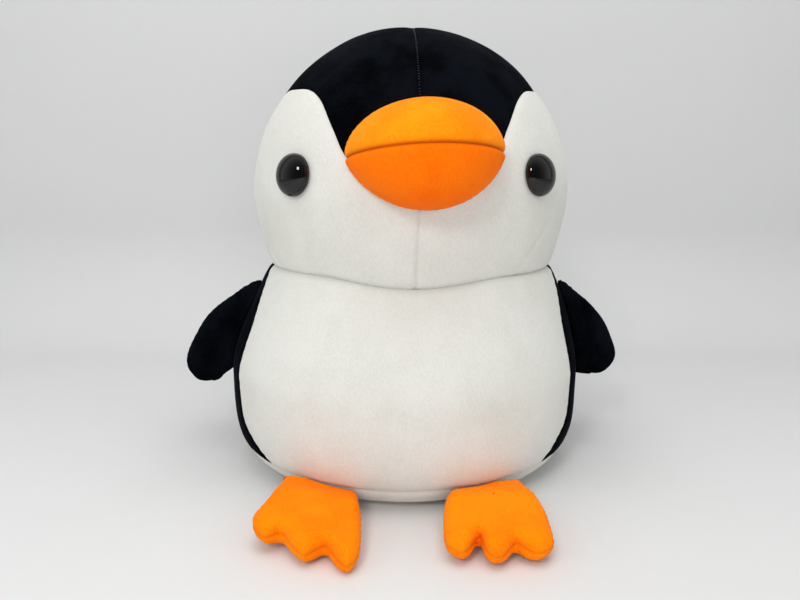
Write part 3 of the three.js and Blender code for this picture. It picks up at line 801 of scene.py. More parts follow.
# %% Onto the head
LIP = crown_level(10.5)  # the cheeks and the crown meet the beak here
CROWN_TURN = math.radians(2.4)
CHIN_TURN = math.radians(1.1)
CHEEK_TURN = {"left": math.radians(4), "right": math.radians(2)}
CHEEK_LEAN = {"left": 0.0, "right": 1.2}  # degrees that the upper corner leans outwards
NEAREST, FARTHEST = 40 * MM, 180 * MM  # the surface lies between these, from the head's middle
HALVINGS = 34
HEAD_SQUASH = np.array([1, DEPTHS["head"], 1])
HEAD_MIDDLE = np.array([HEAD_SHIFT, 0, HEAD_LEVEL])


def head_ray(azimuth, level):
    """The point of the head's round form, before its depth and neck seam are applied."""
    radius = head_radius(level)
    return np.stack([radius * np.sin(azimuth), -radius * np.cos(azimuth), level - HEAD_LEVEL], -1)


def onto_head(places):
    """Push points out from the head's middle until they lie on its surface."""
    direction = places / np.linalg.norm(places, axis=-1, keepdims=True)
    flat = np.hypot(direction[..., 0], direction[..., 1])
    near, far = np.full(flat.shape, NEAREST), np.full(flat.shape, FARTHEST)
    for _ in range(HALVINGS):
        middle = (near + far) / 2
        level = HEAD_LEVEL + middle * direction[..., 2]
        inside = (middle * flat < head_radius(level)) & (level < HEIGHT)
        near, far = np.where(inside, middle, near), np.where(inside, far, middle)
    level = np.minimum(HEAD_LEVEL + near * direction[..., 2], HEIGHT)
    azimuth = np.arctan2(direction[..., 0], -direction[..., 1])
    return on_figure(azimuth, near * flat, level)


def cheek_border(side, name):
    """The cheek's edge: from the beak up beside the crown, over the top and down to the neck."""
    lean = CHEEK_LEAN[name]
    keys = [
        (22, LIP),
        (25, crown_level(12)),
        (31, crown_level(20.5)),
        (38.5 + lean, crown_level(29.5)),
        (44.5 + 1.6 * lean, crown_level(33.6)),
        (51 + 1.8 * lean, crown_level(35.9)),
        (59 + lean, crown_level(36.8)),
        (72, crown_level(37)),
        (86, crown_level(32)),
        (94, crown_level(20)),
        (95, HEAD_LEVEL),
        (88, NECK + 0.4 * (HEAD_LEVEL - NECK)),
        (79, NECK),
    ]
    azimuths = [side * math.radians(azimuth) + CHEEK_TURN[name] for azimuth, _ in keys]
    levels = [level for _, level in keys]
    scaled = spline(np.stack([np.array(azimuths) * HEAD_RADIUS, levels], -1))
    return scaled[:, 0] / HEAD_RADIUS, scaled[:, 1]


CORNER = 7 * SPLINE_STEPS  # the border's top corner, where a cheek's last two sides meet
print("cheek border from", round(LIP, 4), "to", round(NECK, 4))

# %% Cheeks
CHEEK_COLUMNS = 110
CHEEK_ROWS = 96
HEAD_SWELL = 0.5 * MM
EDGE_POINTS = 60
CHIN_SEAM = (0.8 * MM, 0.15 * MM, 5 * MM)
FACE_SEAM = (1.3 * MM, 0.2 * MM, 6 * MM)


def along_head(azimuths, levels, count):
    return resample(head_ray(np.asarray(azimuths, float), np.asarray(levels, float)), steps(count))


def sweep_from(start, end):
    return np.linspace(start, end, EDGE_POINTS)


CREASE_DEPTH = 0.9 * MM
CREASE_WIDTH = 2.4 * MM
CREASES = {  # azimuth in degrees, and millimetres above the neck
    "left": [(-78, 38), (-70, 28), (-63, 15), (-57, 2)],
    "right": [(51.5, 37), (47.6, 26), (44, 12), (41.5, 0)],
}


def crease(places, name):
    """Press a soft crease into a cheek where its cloth is gathered towards the neck."""
    keys = np.array(CREASES[name])
    line = on_head(np.radians(keys[:, 0]), NECK + keys[:, 1] * MM)
    line = resample(spline(line), np.linspace(0, 1, 60))
    cloth = places[..., :3]
    distance = np.min(np.linalg.norm(cloth[:, :, None] - line[None, None], axis=-1), axis=-1)
    depth = CREASE_DEPTH * np.exp(-((distance / CREASE_WIDTH) ** 2))
    cloth -= normals_of(cloth) * depth[..., None]
    return places


def cheek(name, side):
    azimuths, levels = cheek_border(side, name)
    front = np.concatenate([sweep_from(CROWN_TURN, azimuths[0]), azimuths[: CORNER + 1]])
    front_levels = np.concatenate([np.full(EDGE_POINTS, LIP), levels[: CORNER + 1]])
    chin = along_head(sweep_from(CHIN_TURN, CROWN_TURN), sweep_from(NECK, LIP), CHEEK_ROWS)
    top = along_head(front, front_levels, CHEEK_COLUMNS)
    rear = along_head(azimuths[CORNER:][::-1], levels[CORNER:][::-1], CHEEK_ROWS)
    hem = np.full(EDGE_POINTS, NECK)
    neck = along_head(sweep_from(CHIN_TURN, azimuths[-1]), hem, CHEEK_COLUMNS)
    grid = patch(neck, top, chin, rear)
    seams = {"left": CHIN_SEAM, "right": FACE_SEAM, "top": FACE_SEAM, "bottom": NECK_SEAM}
    if side < 0:
        grid = grid[:, ::-1]
        seams = {**seams, "left": FACE_SEAM, "right": CHIN_SEAM}
    places = dress(onto_head(grid), seams, swell=HEAD_SWELL, seed=6 + side, level=("bottom",))
    piece = cloth_grid(f"cheek_{name}_cloth", crease(places, name))
    finish_panel(thicken(piece), "torso", WHITE, [f"cheek_{name}"])


for name, side in SIDES.items():
    cheek(name, side)

# %% Crown
CROWN_COLUMNS = 72
CROWN_ROWS = 170
CROWN_SEAM = (0.9 * MM, 0.12 * MM, 6 * MM)


def middle_seam():
    """The crown's middle line from the beak to the nape, as rays from the head's middle."""
    front = math.atan2(LIP - HEAD_LEVEL, float(head_radius(np.array(LIP))))
    nape = math.pi + math.atan2(HEAD_LEVEL - NECK, NECK_RADIUS)
    angle = np.linspace(front, nape, 400)
    turn = np.where(angle < math.pi / 2, math.sin(CROWN_TURN) * np.cos(angle), 0)
    return np.stack([turn, -np.cos(angle), np.sin(angle)], -1)


def on_round_head(rays):
    squashed = onto_head(rays)
    azimuth = np.arctan2(rays[..., 0], -rays[..., 1])
    flat = np.hypot(squashed[..., 0] - HEAD_SHIFT, squashed[..., 1] / DEPTHS["head"])
    height = squashed[..., 2] - HEAD_LEVEL
    return np.stack([flat * np.sin(azimuth), -flat * np.cos(azimuth), height], -1)


def crown(name, side):
    azimuths, levels = cheek_border(side, name)
    middle = resample(on_round_head(middle_seam()), steps(CROWN_ROWS))
    border = along_head(azimuths, levels, CROWN_ROWS)
    lip, hem = np.full(EDGE_POINTS, LIP), np.full(EDGE_POINTS, NECK)
    beak_edge = along_head(sweep_from(CROWN_TURN, azimuths[0]), lip, CROWN_COLUMNS)
    nape = along_head(sweep_from(side * math.pi, azimuths[-1]), hem, CROWN_COLUMNS)
    grid = patch(beak_edge, nape, middle, border)
    seams = {"left": CROWN_SEAM, "right": FACE_SEAM, "top": NECK_SEAM, "bottom": CHIN_SEAM}
    if side < 0:
        grid = grid[:, ::-1]
        seams = {**seams, "left": FACE_SEAM, "right": CROWN_SEAM}
    places = dress(onto_head(grid), seams, swell=HEAD_SWELL, seed=9 + side, level=("top",))
    piece = cloth_grid(f"crown_{name}_cloth", places)
    finish_panel(thicken(piece), "torso", BLACK, [f"crown_{name}"])


for name, side in SIDES.items():
    crown(name, side)

# %% [markdown]
# ## Crown stitches
# The crown seam is closed by hand, and a pale thread shows in it as a row of short bars. One bar
# is a thin cylinder with rounded ends. It is copied at an even pitch, laid across the groove and
# turned with the surface, and the copies are joined into one piece.

# %% Crown stitches
STITCH_PITCH = 2.6 * MM
STITCH_RADIUS = 0.2 * MM
STITCH_LENGTH = 1.1 * MM
STITCH_HEIGHT = -0.55 * MM  # above the unsewn surface
STITCH_BEVEL = 0.08 * MM
FIRST_STITCH = 34 * MM  # along the seam from the face, so the first stitches stay under the beak
LAST_GAP = 4 * MM
LINE_POINTS = 900
thread, thread_tree, thread_shader = new_material("thread")


def spin_thread():
    place = thread_tree.nodes.new("ShaderNodeTexCoord")
    ply = add_noise(thread_tree, place.outputs["Object"], 1500.0, 1.0)
    shade = add_mix(thread_tree, ply, (0.006, 0.007, 0.009, 1), (0.09, 0.10, 0.12, 1))
    thread_tree.links.new(shade, thread_shader.inputs["Base Color"])
    thread_shader.inputs["Roughness"].default_value = 0.6


def one_stitch():
    deselect()
    bpy.ops.mesh.primitive_cylinder_add(vertices=8, radius=STITCH_RADIUS, depth=STITCH_LENGTH)
    bar = bpy.context.object
    bar.data.transform(Matrix.Rotation(math.pi / 2, 4, "Y"))
    finish_modifier(bar, "BEVEL", width=STITCH_BEVEL, segments=1)
    return bar


def crown_stitches():
    line = onto_head(resample(on_round_head(middle_seam()), np.linspace(0, 1, LINE_POINTS)))
    length = np.concatenate([[0], np.cumsum(np.linalg.norm(np.diff(line, axis=0), axis=1))])
    first, bars = one_stitch(), []
    for place in np.arange(FIRST_STITCH, length[-1] - LAST_GAP, STITCH_PITCH):
        i = int(np.searchsorted(length, place))
        along = Vector(line[min(i + 2, LINE_POINTS - 1)] - line[i - 2]).normalized()
        out = along.cross(Vector((1, 0, 0))).normalized() * -1
        across = out.cross(along)
        turn = Matrix((across, along, out)).transposed().to_4x4()
        bar = first.copy()
        bar.data = first.data.copy()
        bar.data.transform(Matrix.Translation(Vector(line[i]) + out * STITCH_HEIGHT) @ turn)
        bpy.context.collection.objects.link(bar)
        bars.append(bar)
    bpy.data.objects.remove(first)
    choose(bars[0])
    for bar in bars:
        bar.select_set(True)
    bpy.ops.object.join()
    piece = bars[0]
    piece.name = piece.data.name = "crown_stitches"
    piece.data.materials.append(thread)
    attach(piece, "torso")
    print(piece.name, len(bars), "stitches")


spin_thread()
crown_stitches()

# %% [markdown]
# ## Filling
# Under the cloth the toy is packed with fibre. The filling is a closed lumpy solid a few
# millimetres inside the skin, one in the head and one in the body. It is made as a round sphere
# whose points are moved onto the figure's form, set in by a depth.

# %% Fillings of head and body
FILLING_INSET = 5.5 * MM
FILLING_LUMP = 14 * MM
FILLING_RISE = 0.8 * MM
NECK_ROOM = 2 * MM
END_ROUND = 0.35  # share of the body's radius over which the filling rounds off at its ends
filling_material, filling_tree, filling_shader = new_material("fibre_filling")


def dress_filling():
    """Matted fibre: pale strands, with painted shade in the hollows between them."""
    place = filling_tree.nodes.new("ShaderNodeTexCoord")
    strands = add_noise(filling_tree, place.outputs["Object"], 260.0, 6.0, 0.7)
    # Painted shade: the noise that sinks the bump also darkens the colour in its hollows.
    shade = add_mix(filling_tree, strands, (0.74, 0.73, 0.7, 1), (0.93, 0.92, 0.9, 1))
    relief = filling_tree.nodes.new("ShaderNodeBump")
    relief.inputs["Distance"].default_value = 1.5 * MM
    filling_tree.links.new(shade, filling_shader.inputs["Base Color"])
    filling_tree.links.new(strands, relief.inputs["Height"])
    filling_tree.links.new(relief.outputs["Normal"], filling_shader.inputs["Normal"])
    filling_shader.inputs["Roughness"].default_value = 0.95


def add_filling(name, form, nodes):
    deselect()
    bpy.ops.mesh.primitive_uv_sphere_add(segments=72, ring_count=40, radius=1)
    piece = bpy.context.object
    piece.name = piece.data.name = name
    unit = points_of(piece)
    places = form(unit)
    middle = places.mean(axis=0)
    out = (places - middle) / np.linalg.norm(places - middle, axis=1, keepdims=True)
    lumps = FILLING_RISE * field(places, FILLING_LUMP, 4)
    move_points(piece, places + out * (lumps - FILLING_INSET)[:, None])
    bpy.ops.object.shade_smooth()
    finish_panel(piece, "torso", filling_material, nodes)


def head_lump(unit):
    places = onto_head(unit)
    places[:, 2] = np.maximum(places[:, 2], NECK + FILLING_INSET + NECK_ROOM)
    return places


def body_lump(unit):
    azimuth = np.arctan2(unit[:, 0], -unit[:, 1])
    level = NECK * (1 + unit[:, 2]) / 2
    round_off = np.minimum(1, np.sqrt(np.clip(1 - unit[:, 2] ** 2, 0, 1)) / END_ROUND)
    return on_figure(azimuth, body_radius(level) * round_off, level)


dress_filling()
add_filling("head_filling", head_lump, ["head_stuffing"])
add_filling("body_filling", body_lump, ["body_stuffing"])

# %% [markdown]
# ## Eyes
# A safety eye is a moulded dome on a stem, pushed through the cloth and locked behind it by a
# washer. The dome is polished, so the lights show in it. It is made from a sphere cut in half
# and flattened, and its back is drawn in to make the stem. It sits square on the cheek. The
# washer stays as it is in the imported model, and gets the look of moulded nylon.

# %% Eyes
EYE_RADIUS = 15 * MM
EYE_DOME = 9.2 * MM
EYE_SINK = 1.4 * MM
EYE_AZIMUTH = math.radians(41.5)
EYE_TURN = math.radians(2)
EYE_LEVEL = crown_level(6.4)
EYE_SHINE = 0.45
STEM_RADIUS = 2.5 * MM
STEM_LENGTH = 14 * MM
eye_material, eye_tree, eye_shader = new_material("eye_gloss")


def polish_eye():
    """Dark moulded plastic: the faint mould marks change its gloss a little."""
    place = eye_tree.nodes.new("ShaderNodeTexCoord")
    marks = add_noise(eye_tree, place.outputs["Object"], 120.0, 3.0)
    shade = add_mix(eye_tree, marks, (0.0015, 0.0014, 0.0016, 1), (0.004, 0.0036, 0.004, 1))
    eye_tree.links.new(shade, eye_shader.inputs["Base Color"])
    gloss = add_range(eye_tree, marks, 0.3, 0.7, 0.03, 0.06)
    eye_tree.links.new(gloss, eye_shader.inputs["Roughness"])
    eye_shader.inputs["Specular IOR Level"].default_value = EYE_SHINE


def frame_at(place, outwards):
    """A matrix whose Z points outwards and whose Y points as far up as it can."""
    out = Vector(outwards).normalized()
    across = Vector((0, 0, 1)).cross(out).normalized()
    up = out.cross(across)
    return Matrix.Translation(Vector(place)) @ Matrix((across, up, out)).transposed().to_4x4()


def head_frame(azimuth, level):
    """A frame on the head's surface, from two short steps along it."""
    near = on_head(azimuth + np.array([-0.01, 0.01, 0]), np.array([level] * 3))
    over = on_head(np.array([azimuth] * 2), np.array([level - MM, level + MM]))
    out = np.cross(near[1] - near[0], over[1] - over[0])
    return frame_at(near[2], out)


def select_where(piece, test):
    """In edit mode, select the faces whose middles pass the test, and nothing else."""
    bpy.ops.object.mode_set(mode="EDIT")
    bpy.ops.mesh.select_mode(type="FACE")
    bpy.ops.mesh.select_all(action="DESELECT")
    bpy.ops.object.mode_set(mode="OBJECT")
    for face in piece.data.polygons:
        face.select = bool(test(face.center))
    bpy.ops.object.mode_set(mode="EDIT")


def eye(name, side):
    deselect()
    bpy.ops.mesh.primitive_uv_sphere_add(segments=64, ring_count=48, radius=EYE_RADIUS)
    piece = bpy.context.object
    piece.name = piece.data.name = f"eye_{name}_dome"
    select_where(piece, lambda middle: middle.z < 0)
    bpy.ops.mesh.delete(type="FACE")
    bpy.ops.mesh.select_all(action="SELECT")
    bpy.ops.transform.resize(value=(1, 1, EYE_DOME / EYE_RADIUS))
    bpy.ops.mesh.select_mode(type="EDGE")
    bpy.ops.mesh.select_all(action="DESELECT")
    bpy.ops.mesh.select_non_manifold()
    bpy.ops.mesh.extrude_edges_move(TRANSFORM_OT_translate={"value": (0, 0, -EYE_SINK / 2)})
    bpy.ops.mesh.extrude_edges_move()
    bpy.ops.transform.resize(value=(STEM_RADIUS / EYE_RADIUS, STEM_RADIUS / EYE_RADIUS, 1))
    bpy.ops.mesh.extrude_edges_move(TRANSFORM_OT_translate={"value": (0, 0, -STEM_LENGTH)})
    bpy.ops.mesh.edge_face_add()
    bpy.ops.mesh.select_all(action="SELECT")
    bpy.ops.mesh.normals_make_consistent(inside=False)
    bpy.ops.object.mode_set(mode="OBJECT")
    place = head_frame(side * EYE_AZIMUTH + EYE_TURN, EYE_LEVEL)
    piece.data.transform(place @ Matrix.Translation((0, 0, -EYE_SINK / 2)))
    bpy.ops.object.shade_smooth_by_angle(angle=SHARP_FROM)
    piece.data.materials.append(eye_material)
    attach(piece, "torso")
    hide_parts(f"eye_{name}")
    return piece


def dress_washers():
    """The lock washers keep the shape they are made in, and get a plain moulded nylon."""
    nylon, tree, shader = new_material("washer_nylon")
    place = tree.nodes.new("ShaderNodeTexCoord")
    cloud = add_noise(tree, place.outputs["Object"], 300.0, 2.0)
    shade = add_mix(tree, cloud, (0.62, 0.62, 0.6, 1), (0.72, 0.72, 0.7, 1))
    tree.links.new(shade, shader.inputs["Base Color"])
    shader.inputs["Roughness"].default_value = 0.45
    for name in SIDES:
        washer = bpy.data.objects[f"eye_washer_{name}"]
        washer.data.materials.clear()
        washer.data.materials.append(nylon)


polish_eye()
dress_washers()
for name, side in SIDES.items():
    print(eye(name, side).name)

# %% [markdown]
# ## Beak
# The beak is two orange panels sewn along the lip and stuffed into an almond. Each half is a grid
# from the lip round to the face, and it narrows to a point at both corners. The upper half is
# rounder and the lower half narrows faster. Where the rows reach the face they stop and turn in.

# %% Beak
BEAK_WIDE = 54 * MM
BEAK_HEIGHT = {"upper": 35 * MM, "lower": 37 * MM}
BEAK_PINCH = {"upper": 1.0, "lower": 1.35}
BEAK_REACH = 47 * MM
BEAK_PITCH = math.radians(7)
BEAK_ROLL = math.radians(1.5)
BEAK_TURN = math.radians(4)
BEAK_LEVEL = crown_level(12.5)
SOFT_LUMPS = 0.6 * MM
BEAK_NODES = {"upper": ["beak_upper", "beak_stuffing"], "lower": ["beak_lower"]}
BEAK_CORNER = 0.9995  # the panels stop just before the corner, so no side has no length
BEAK_LAST_ANGLE = math.radians(144)
BEAK_TRIES = 240
BEAK_GAP = 0.2 * MM
BEAK_COLUMNS = 220
BEAK_ROWS = 60
LIP_SEAM = (3.0 * MM, 0.45 * MM, 3.4 * MM, 1.7 * MM)
BEAK_EDGE = (1.6 * MM, 0.3 * MM, 5 * MM)


def frame_matrix_of(place, across, up):
    """A matrix with X across and Z up, at a place."""
    axes = Matrix((across, up.cross(across), up)).transposed().to_4x4()
    return Matrix.Translation(Vector(place)) @ axes


def beak_frame():
    across = Vector((math.cos(BEAK_TURN), math.sin(BEAK_TURN), math.sin(BEAK_ROLL))).normalized()
    back = Vector((-math.sin(BEAK_TURN), math.cos(BEAK_TURN), -math.tan(BEAK_PITCH)))
    up = across.cross(back).normalized()
    return frame_matrix_of(on_head(np.array(BEAK_TURN), np.array(BEAK_LEVEL)), across, up)


def placed(frame_matrix, places):
    matrix = np.array(frame_matrix)
    return places @ matrix[:3, :3].T + matrix[:3, 3]


def inside_head(places, margin=0.0):
    plain = (places - HEAD_MIDDLE) / HEAD_SQUASH
    radius = np.hypot(plain[..., 0], plain[..., 1])
    return radius < head_radius(np.minimum(places[..., 2], HEIGHT)) + margin


def beak_point(share, angle, half):
    """share runs from corner to corner, and angle from the lip to straight up or down."""
    ring = np.sqrt(np.clip(1 - share**2, 0, 1))
    away = share * BEAK_WIDE / HEAD_RADIUS
    bow = HEAD_RADIUS * DEPTHS["head"] * (1 - np.sqrt(1 - away**2))
    forward = BEAK_REACH * ring ** BEAK_PINCH["upper"] * np.cos(angle)
    height = BEAK_HEIGHT[half] * ring ** BEAK_PINCH[half] * np.sin(angle)
    sign = 1 if half == "upper" else -1
    return np.stack([share * BEAK_WIDE + 0 * angle, bow - forward, sign * height], -1)


def beak_half(half):
    share = 2 * steps(BEAK_COLUMNS) - 1
    share = np.sin(share * math.pi / 2) * BEAK_CORNER
    frame_matrix = beak_frame()
    fine = np.linspace(0, BEAK_LAST_ANGLE, BEAK_TRIES)
    tries = placed(frame_matrix, beak_point(share[None, :], fine[:, None], half))
    touching = inside_head(tries, BEAK_GAP)
    touching[-1] = True
    last = fine[np.argmax(touching, axis=0)]
    angle = steps(BEAK_ROWS)[:, None] * last[None, :]
    places = placed(frame_matrix, beak_point(share[None, :] + 0 * angle, angle, half))
    seams = {"bottom": LIP_SEAM, "top": BEAK_EDGE}
    if half == "lower":
        places = places[::-1]
        seams = {"top": LIP_SEAM, "bottom": BEAK_EDGE}
    piece = cloth_grid(f"beak_{half}_cloth", dress(places, seams, lumps=SOFT_LUMPS, seed=12))
    # The upper half wears the lighter copy of the orange, which paints the light on the beak's top.
    material = LIT_TOP_ORANGE if half == "upper" else ORANGE
    finish_panel(thicken(piece), "torso", material, BEAK_NODES[half])


for half in ("upper", "lower"):
    beak_half(half)

# %% [markdown]
# ## Wings and feet
# Each is a pad: two cloths cut to one outline, sewn round the rim, turned and stuffed, then sewn
# into the body along its root. A pad is thickest inside and falls in a round to its rim, so its
# height comes from the distance to the rim. The rings of its grid run from the rim to a centre,
# and each ring point that would reach into the body, at any turn of the joint, is drawn back.

# %% Pads
PAD_COLUMNS = 200
PAD_RINGS = 40
RIM_ROUND = 13 * MM  # a pad reaches its full height this far from the rim
NOTCH_ROUND = 5.5 * MM
RIM_POWER = 2.2
BLEND_LENGTH = 16 * MM
JOINT_TRIES = 9
ROOT_HALVINGS = 14
ROOT_GAP = 0.3 * MM
ROOT_SPREAD = 3  # columns on either side that share their reach


def distance_to(outline, places):
    """Shortest distance from each point to a closed outline."""
    start, end = outline, np.roll(outline, -1, axis=0)
    along = end - start
    flat = places.reshape(-1, 2)
    share = ((flat[:, None] - start[None]) * along[None]).sum(-1) / (along**2).sum(-1)[None]
    near = start[None] + np.clip(share, 0, 1)[..., None] * along[None]
    return np.linalg.norm(flat[:, None] - near, axis=-1).min(axis=1).reshape(places.shape[:-1])


def inside_body(places, margin):
    level = np.clip(places[..., 2], 0, NECK)
    fall = np.clip((NECK - level) / DEPTH_BLEND, 0, 1)
    lean = HEAD_SHIFT * smooth(level, BODY_LEVEL, NECK)
    side = np.where(places[..., 1] < 0, DEPTHS["belly"], DEPTHS["back"])
    depth = DEPTHS["head"] + (side - DEPTHS["head"]) * fall
    radius = np.hypot(places[..., 0] - lean, places[..., 1] / depth)
    return (radius < body_radius(level) + margin) & (places[..., 2] > -margin)


def turned(places, joint, angles):
    """Places turned about a joint's axis by an angle of their own."""
    axis = np.array(joint["axis"]) / np.linalg.norm(joint["axis"])
    arm = places - np.array(joint["pos_m"])
    cos, sin = np.cos(angles)[..., None], np.sin(angles)[..., None]
    along = (arm @ axis)[..., None] * axis
    return np.array(joint["pos_m"]) + along + (arm - along) * cos + np.cross(axis, arm) * sin


def turn_left(first, second, third):
    return np.cross(np.subtract(second, first), np.subtract(third, second))


def hull(outline):
    """The outline with its notches bridged by straight lines (Andrew's monotone chain)."""
    ordered = sorted(map(tuple, outline))
    chain = []
    for run in (ordered, ordered[::-1]):
        part = []
        for point in run:
            while len(part) > 1 and turn_left(part[-2], part[-1], point) <= 0:
                part.pop()
            part.append(point)
        chain += part[:-1]
    return np.array(chain)


def pad_lift(rim, flat, height):
    """Half the thickness: a broad round to the bridged outline, and a tight one at notches."""
    lift = height(flat)
    for line, reach in ((hull(rim), RIM_ROUND), (rim[:-1], NOTCH_ROUND)):
        edge = np.clip(distance_to(line, flat) / reach, 0, 1)
        lift = lift * (1 - (1 - edge) ** RIM_POWER) ** (1 / RIM_POWER)
    return lift


def pad_places(outline, centre, height, frame_matrix, axis, joint, allowance):
    """The two sheets of a pad, ring by ring from its centre to its rim.

    Along the given axis, the root may reach into the body by the allowance and no more.
    """
    rim = resample(spline(outline, closed=True), np.linspace(0, 1, PAD_COLUMNS))
    shares = np.sin(np.linspace(0, math.pi / 2, PAD_RINGS))[:, None, None]

    def sheets(share):
        flat = centre + (rim - centre)[None] * share
        lift = pad_lift(rim, flat, height)
        both = [np.concatenate([flat, (sign * lift)[..., None]], -1) for sign in (1, -1)]
        return [placed(frame_matrix, sheet) for sheet in both], flat[..., axis]

    near, far = np.zeros(PAD_COLUMNS), np.ones(PAD_COLUMNS)
    for _ in range(ROOT_HALVINGS):
        middle = (near + far) / 2
        pair, out = sheets(middle[None, :, None])
        weight = smooth(out, 0, BLEND_LENGTH)
        blocked = out < -allowance
        for turn in np.linspace(*np.radians(joint["range_deg"]), JOINT_TRIES):
            for sheet in pair:
                blocked = blocked | inside_body(turned(sheet, joint, weight * turn), ROOT_GAP)
        near, far = np.where(blocked[0], near, middle), np.where(blocked[0], middle, far)
    near = np.where(near > 0.9999 - 2**-12, 1, near)
    beside = range(-ROOT_SPREAD, ROOT_SPREAD + 1)
    spread = np.stack([np.roll(near[:-1], step) for step in beside])
    reach = np.minimum(near[:-1], spread.mean(axis=0))
    reach = np.append(reach, reach[0])
    return sheets(shares * reach[None, :, None])[0]


print({name: joint["range_deg"] for name, joint in JOINTS.items()})

# %% Feet
FOOT_LENGTH = 72 * MM
FOOT_WIDE = 40 * MM
FOOT_NARROW = 26 * MM
FOOT_HEIGHT = 9.5 * MM
FOOT_ROOT_HEIGHT = 3 * MM
FOOT_TAPER = 24 * MM
FOOT_DROP = math.asin(8.3 * MM / FOOT_LENGTH)
FOOT_TURN = {"left": math.radians(12), "right": math.radians(5)}
FOOT_RIM = (1.6 * MM, 0.6 * MM, 6 * MM)
FOOT_ALLOWANCE = 3 * MM


TOES = {  # round the three toes, in shares of the half width and the length
    "left": [
        (0.72, 0.29), (0.77, 0.55), (0.8, 0.68), (0.71, 0.78), (0.56, 0.85), (0.4, 0.87),
        (0.22, 0.79), (-0.03, 0.9), (-0.3, 0.99), (-0.44, 0.9), (-0.55, 0.83), (-0.81, 0.96),
        (-1, 1.01), (-1.09, 0.94), (-1.11, 0.8), (-0.96, 0.47), (-0.7, 0.06),
    ],
    "right": [
        (0.7, 0.05), (0.92, 0.39), (1.01, 0.8), (0.96, 0.88), (0.75, 0.95), (0.62, 0.9),
        (0.44, 0.76), (0.41, 0.93), (0.32, 1.02), (0.16, 1.02), (0, 0.93), (-0.1, 0.87),
        (-0.25, 0.97), (-0.41, 1.01), (-0.69, 0.92), (-0.74, 0.81), (-0.79, 0.48), (-0.66, 0.06),
    ],
}


def foot_outline(name):
    toes = np.array(TOES[name]) * (FOOT_WIDE, FOOT_LENGTH)
    root = [(-FOOT_NARROW, -FOOT_TAPER), (FOOT_NARROW, -FOOT_TAPER)]
    return np.vstack([toes, root])


def foot_frame(name, side):
    joint = JOINTS[f"foot_{name}_nod"]
    across = Vector(joint["axis"]).normalized()
    turn = side * FOOT_TURN[name]
    along = Vector((math.sin(turn), -math.cos(turn), -math.tan(FOOT_DROP)))
    up = across.cross(along).normalized()
    return frame_matrix_of(joint["pos_m"], across, up)


def foot_height(flat):
    return FOOT_ROOT_HEIGHT + (FOOT_HEIGHT - FOOT_ROOT_HEIGHT) * smooth(flat[..., 1], 0, FOOT_TAPER)


def pad(sheets, seam, slot, material, body, frame_matrix, reach_axis, nodes, seed):
    """The two cloths of a pad, grooved at the rim seam and thickened."""
    turn = frame_matrix.to_3x3()
    for (piece_name, node), places, facing in zip(nodes, sheets, (1, -1)):
        if normals_of(places)[5, 5].dot(turn @ Vector((0, 0, facing))) < 0:
            places = places[:, ::-1]
        places = dress(places, {"top": seam}, lumps=SOFT_LUMPS, seed=seed)
        places[0] = places[1].mean(axis=0)
        piece = cloth_grid(piece_name, places)
        edit(piece, merge_close)
        thicken(piece)
        piece.data.materials.append(material)
        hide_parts(*node)
        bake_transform(piece)
        report(piece)


def foot(name, side):
    frame_matrix = foot_frame(name, side)
    sheets = pad_places(
        foot_outline(name), np.array([0, 0.3 * FOOT_LENGTH]), foot_height, frame_matrix,
        1, JOINTS[f"foot_{name}_nod"], FOOT_ALLOWANCE,
    )
    nodes = [
        (f"foot_{name}_upper_cloth", [f"foot_{name}_upper", f"foot_{name}_stuffing"]),
        (f"foot_{name}_sole_cloth", [f"foot_{name}_sole"]),
    ]
    cloth = ("orange_plush", FOOT_ORANGE)
    pad(sheets, FOOT_RIM, *cloth, f"foot_{name}", frame_matrix, (0, 1, 0), nodes, 20)


for name, side in SIDES.items():
    foot(name, side)

# %% Wings
WING_SWEEP = {"left": math.radians(5), "right": math.radians(22)}
WING_HEIGHT = 9 * MM
WING_ROOT_HEIGHT = 3 * MM
WING_TAPER = 20 * MM
WING_RIM = (1.4 * MM, 0.35 * MM, 7 * MM)
WING_ALLOWANCE = 7 * MM
WING_CENTRE = np.array([15.3, -20]) * MM
WING_ROOT = 33 * MM
WING_SPREAD = {"left": 37.5 * MM, "right": 39 * MM}
WING_TAIL = {"left": 62.5 * MM, "right": 52 * MM}


def wing_outline(name):
    """Across in shares of the spread. Along in shares of the tail below and of the root above."""
    spread, tail, root = WING_SPREAD[name], WING_TAIL[name], WING_ROOT
    return np.array([
        (-WING_TAPER, -root), (-0.14 * spread, -1.28 * root), (0.16 * spread, -0.92 * tail),
        (0.5 * spread, -tail), (0.86 * spread, -0.9 * tail), (spread, -0.74 * tail),
        (0.96 * spread, -0.34 * tail), (0.82 * spread, -0.02 * tail), (0.43 * spread, 0.66 * root),
        (-0.08 * spread, 1.25 * root), (-WING_TAPER, root),
    ])


def wing_frame(name, side):
    joint = JOINTS[f"wing_{name}_flap"]
    along = -side * Vector(joint["axis"]).normalized()
    outwards = Vector((side, 0, 0))
    sideways = (outwards - along * outwards.dot(along)).normalized()
    across = Matrix.Rotation(side * WING_SWEEP[name], 3, along) @ sideways
    up = across.cross(along).normalized()
    return frame_matrix_of(joint["pos_m"], across, up)


def wing_height(flat):
    return WING_ROOT_HEIGHT + (WING_HEIGHT - WING_ROOT_HEIGHT) * smooth(flat[..., 0], 0, WING_TAPER)


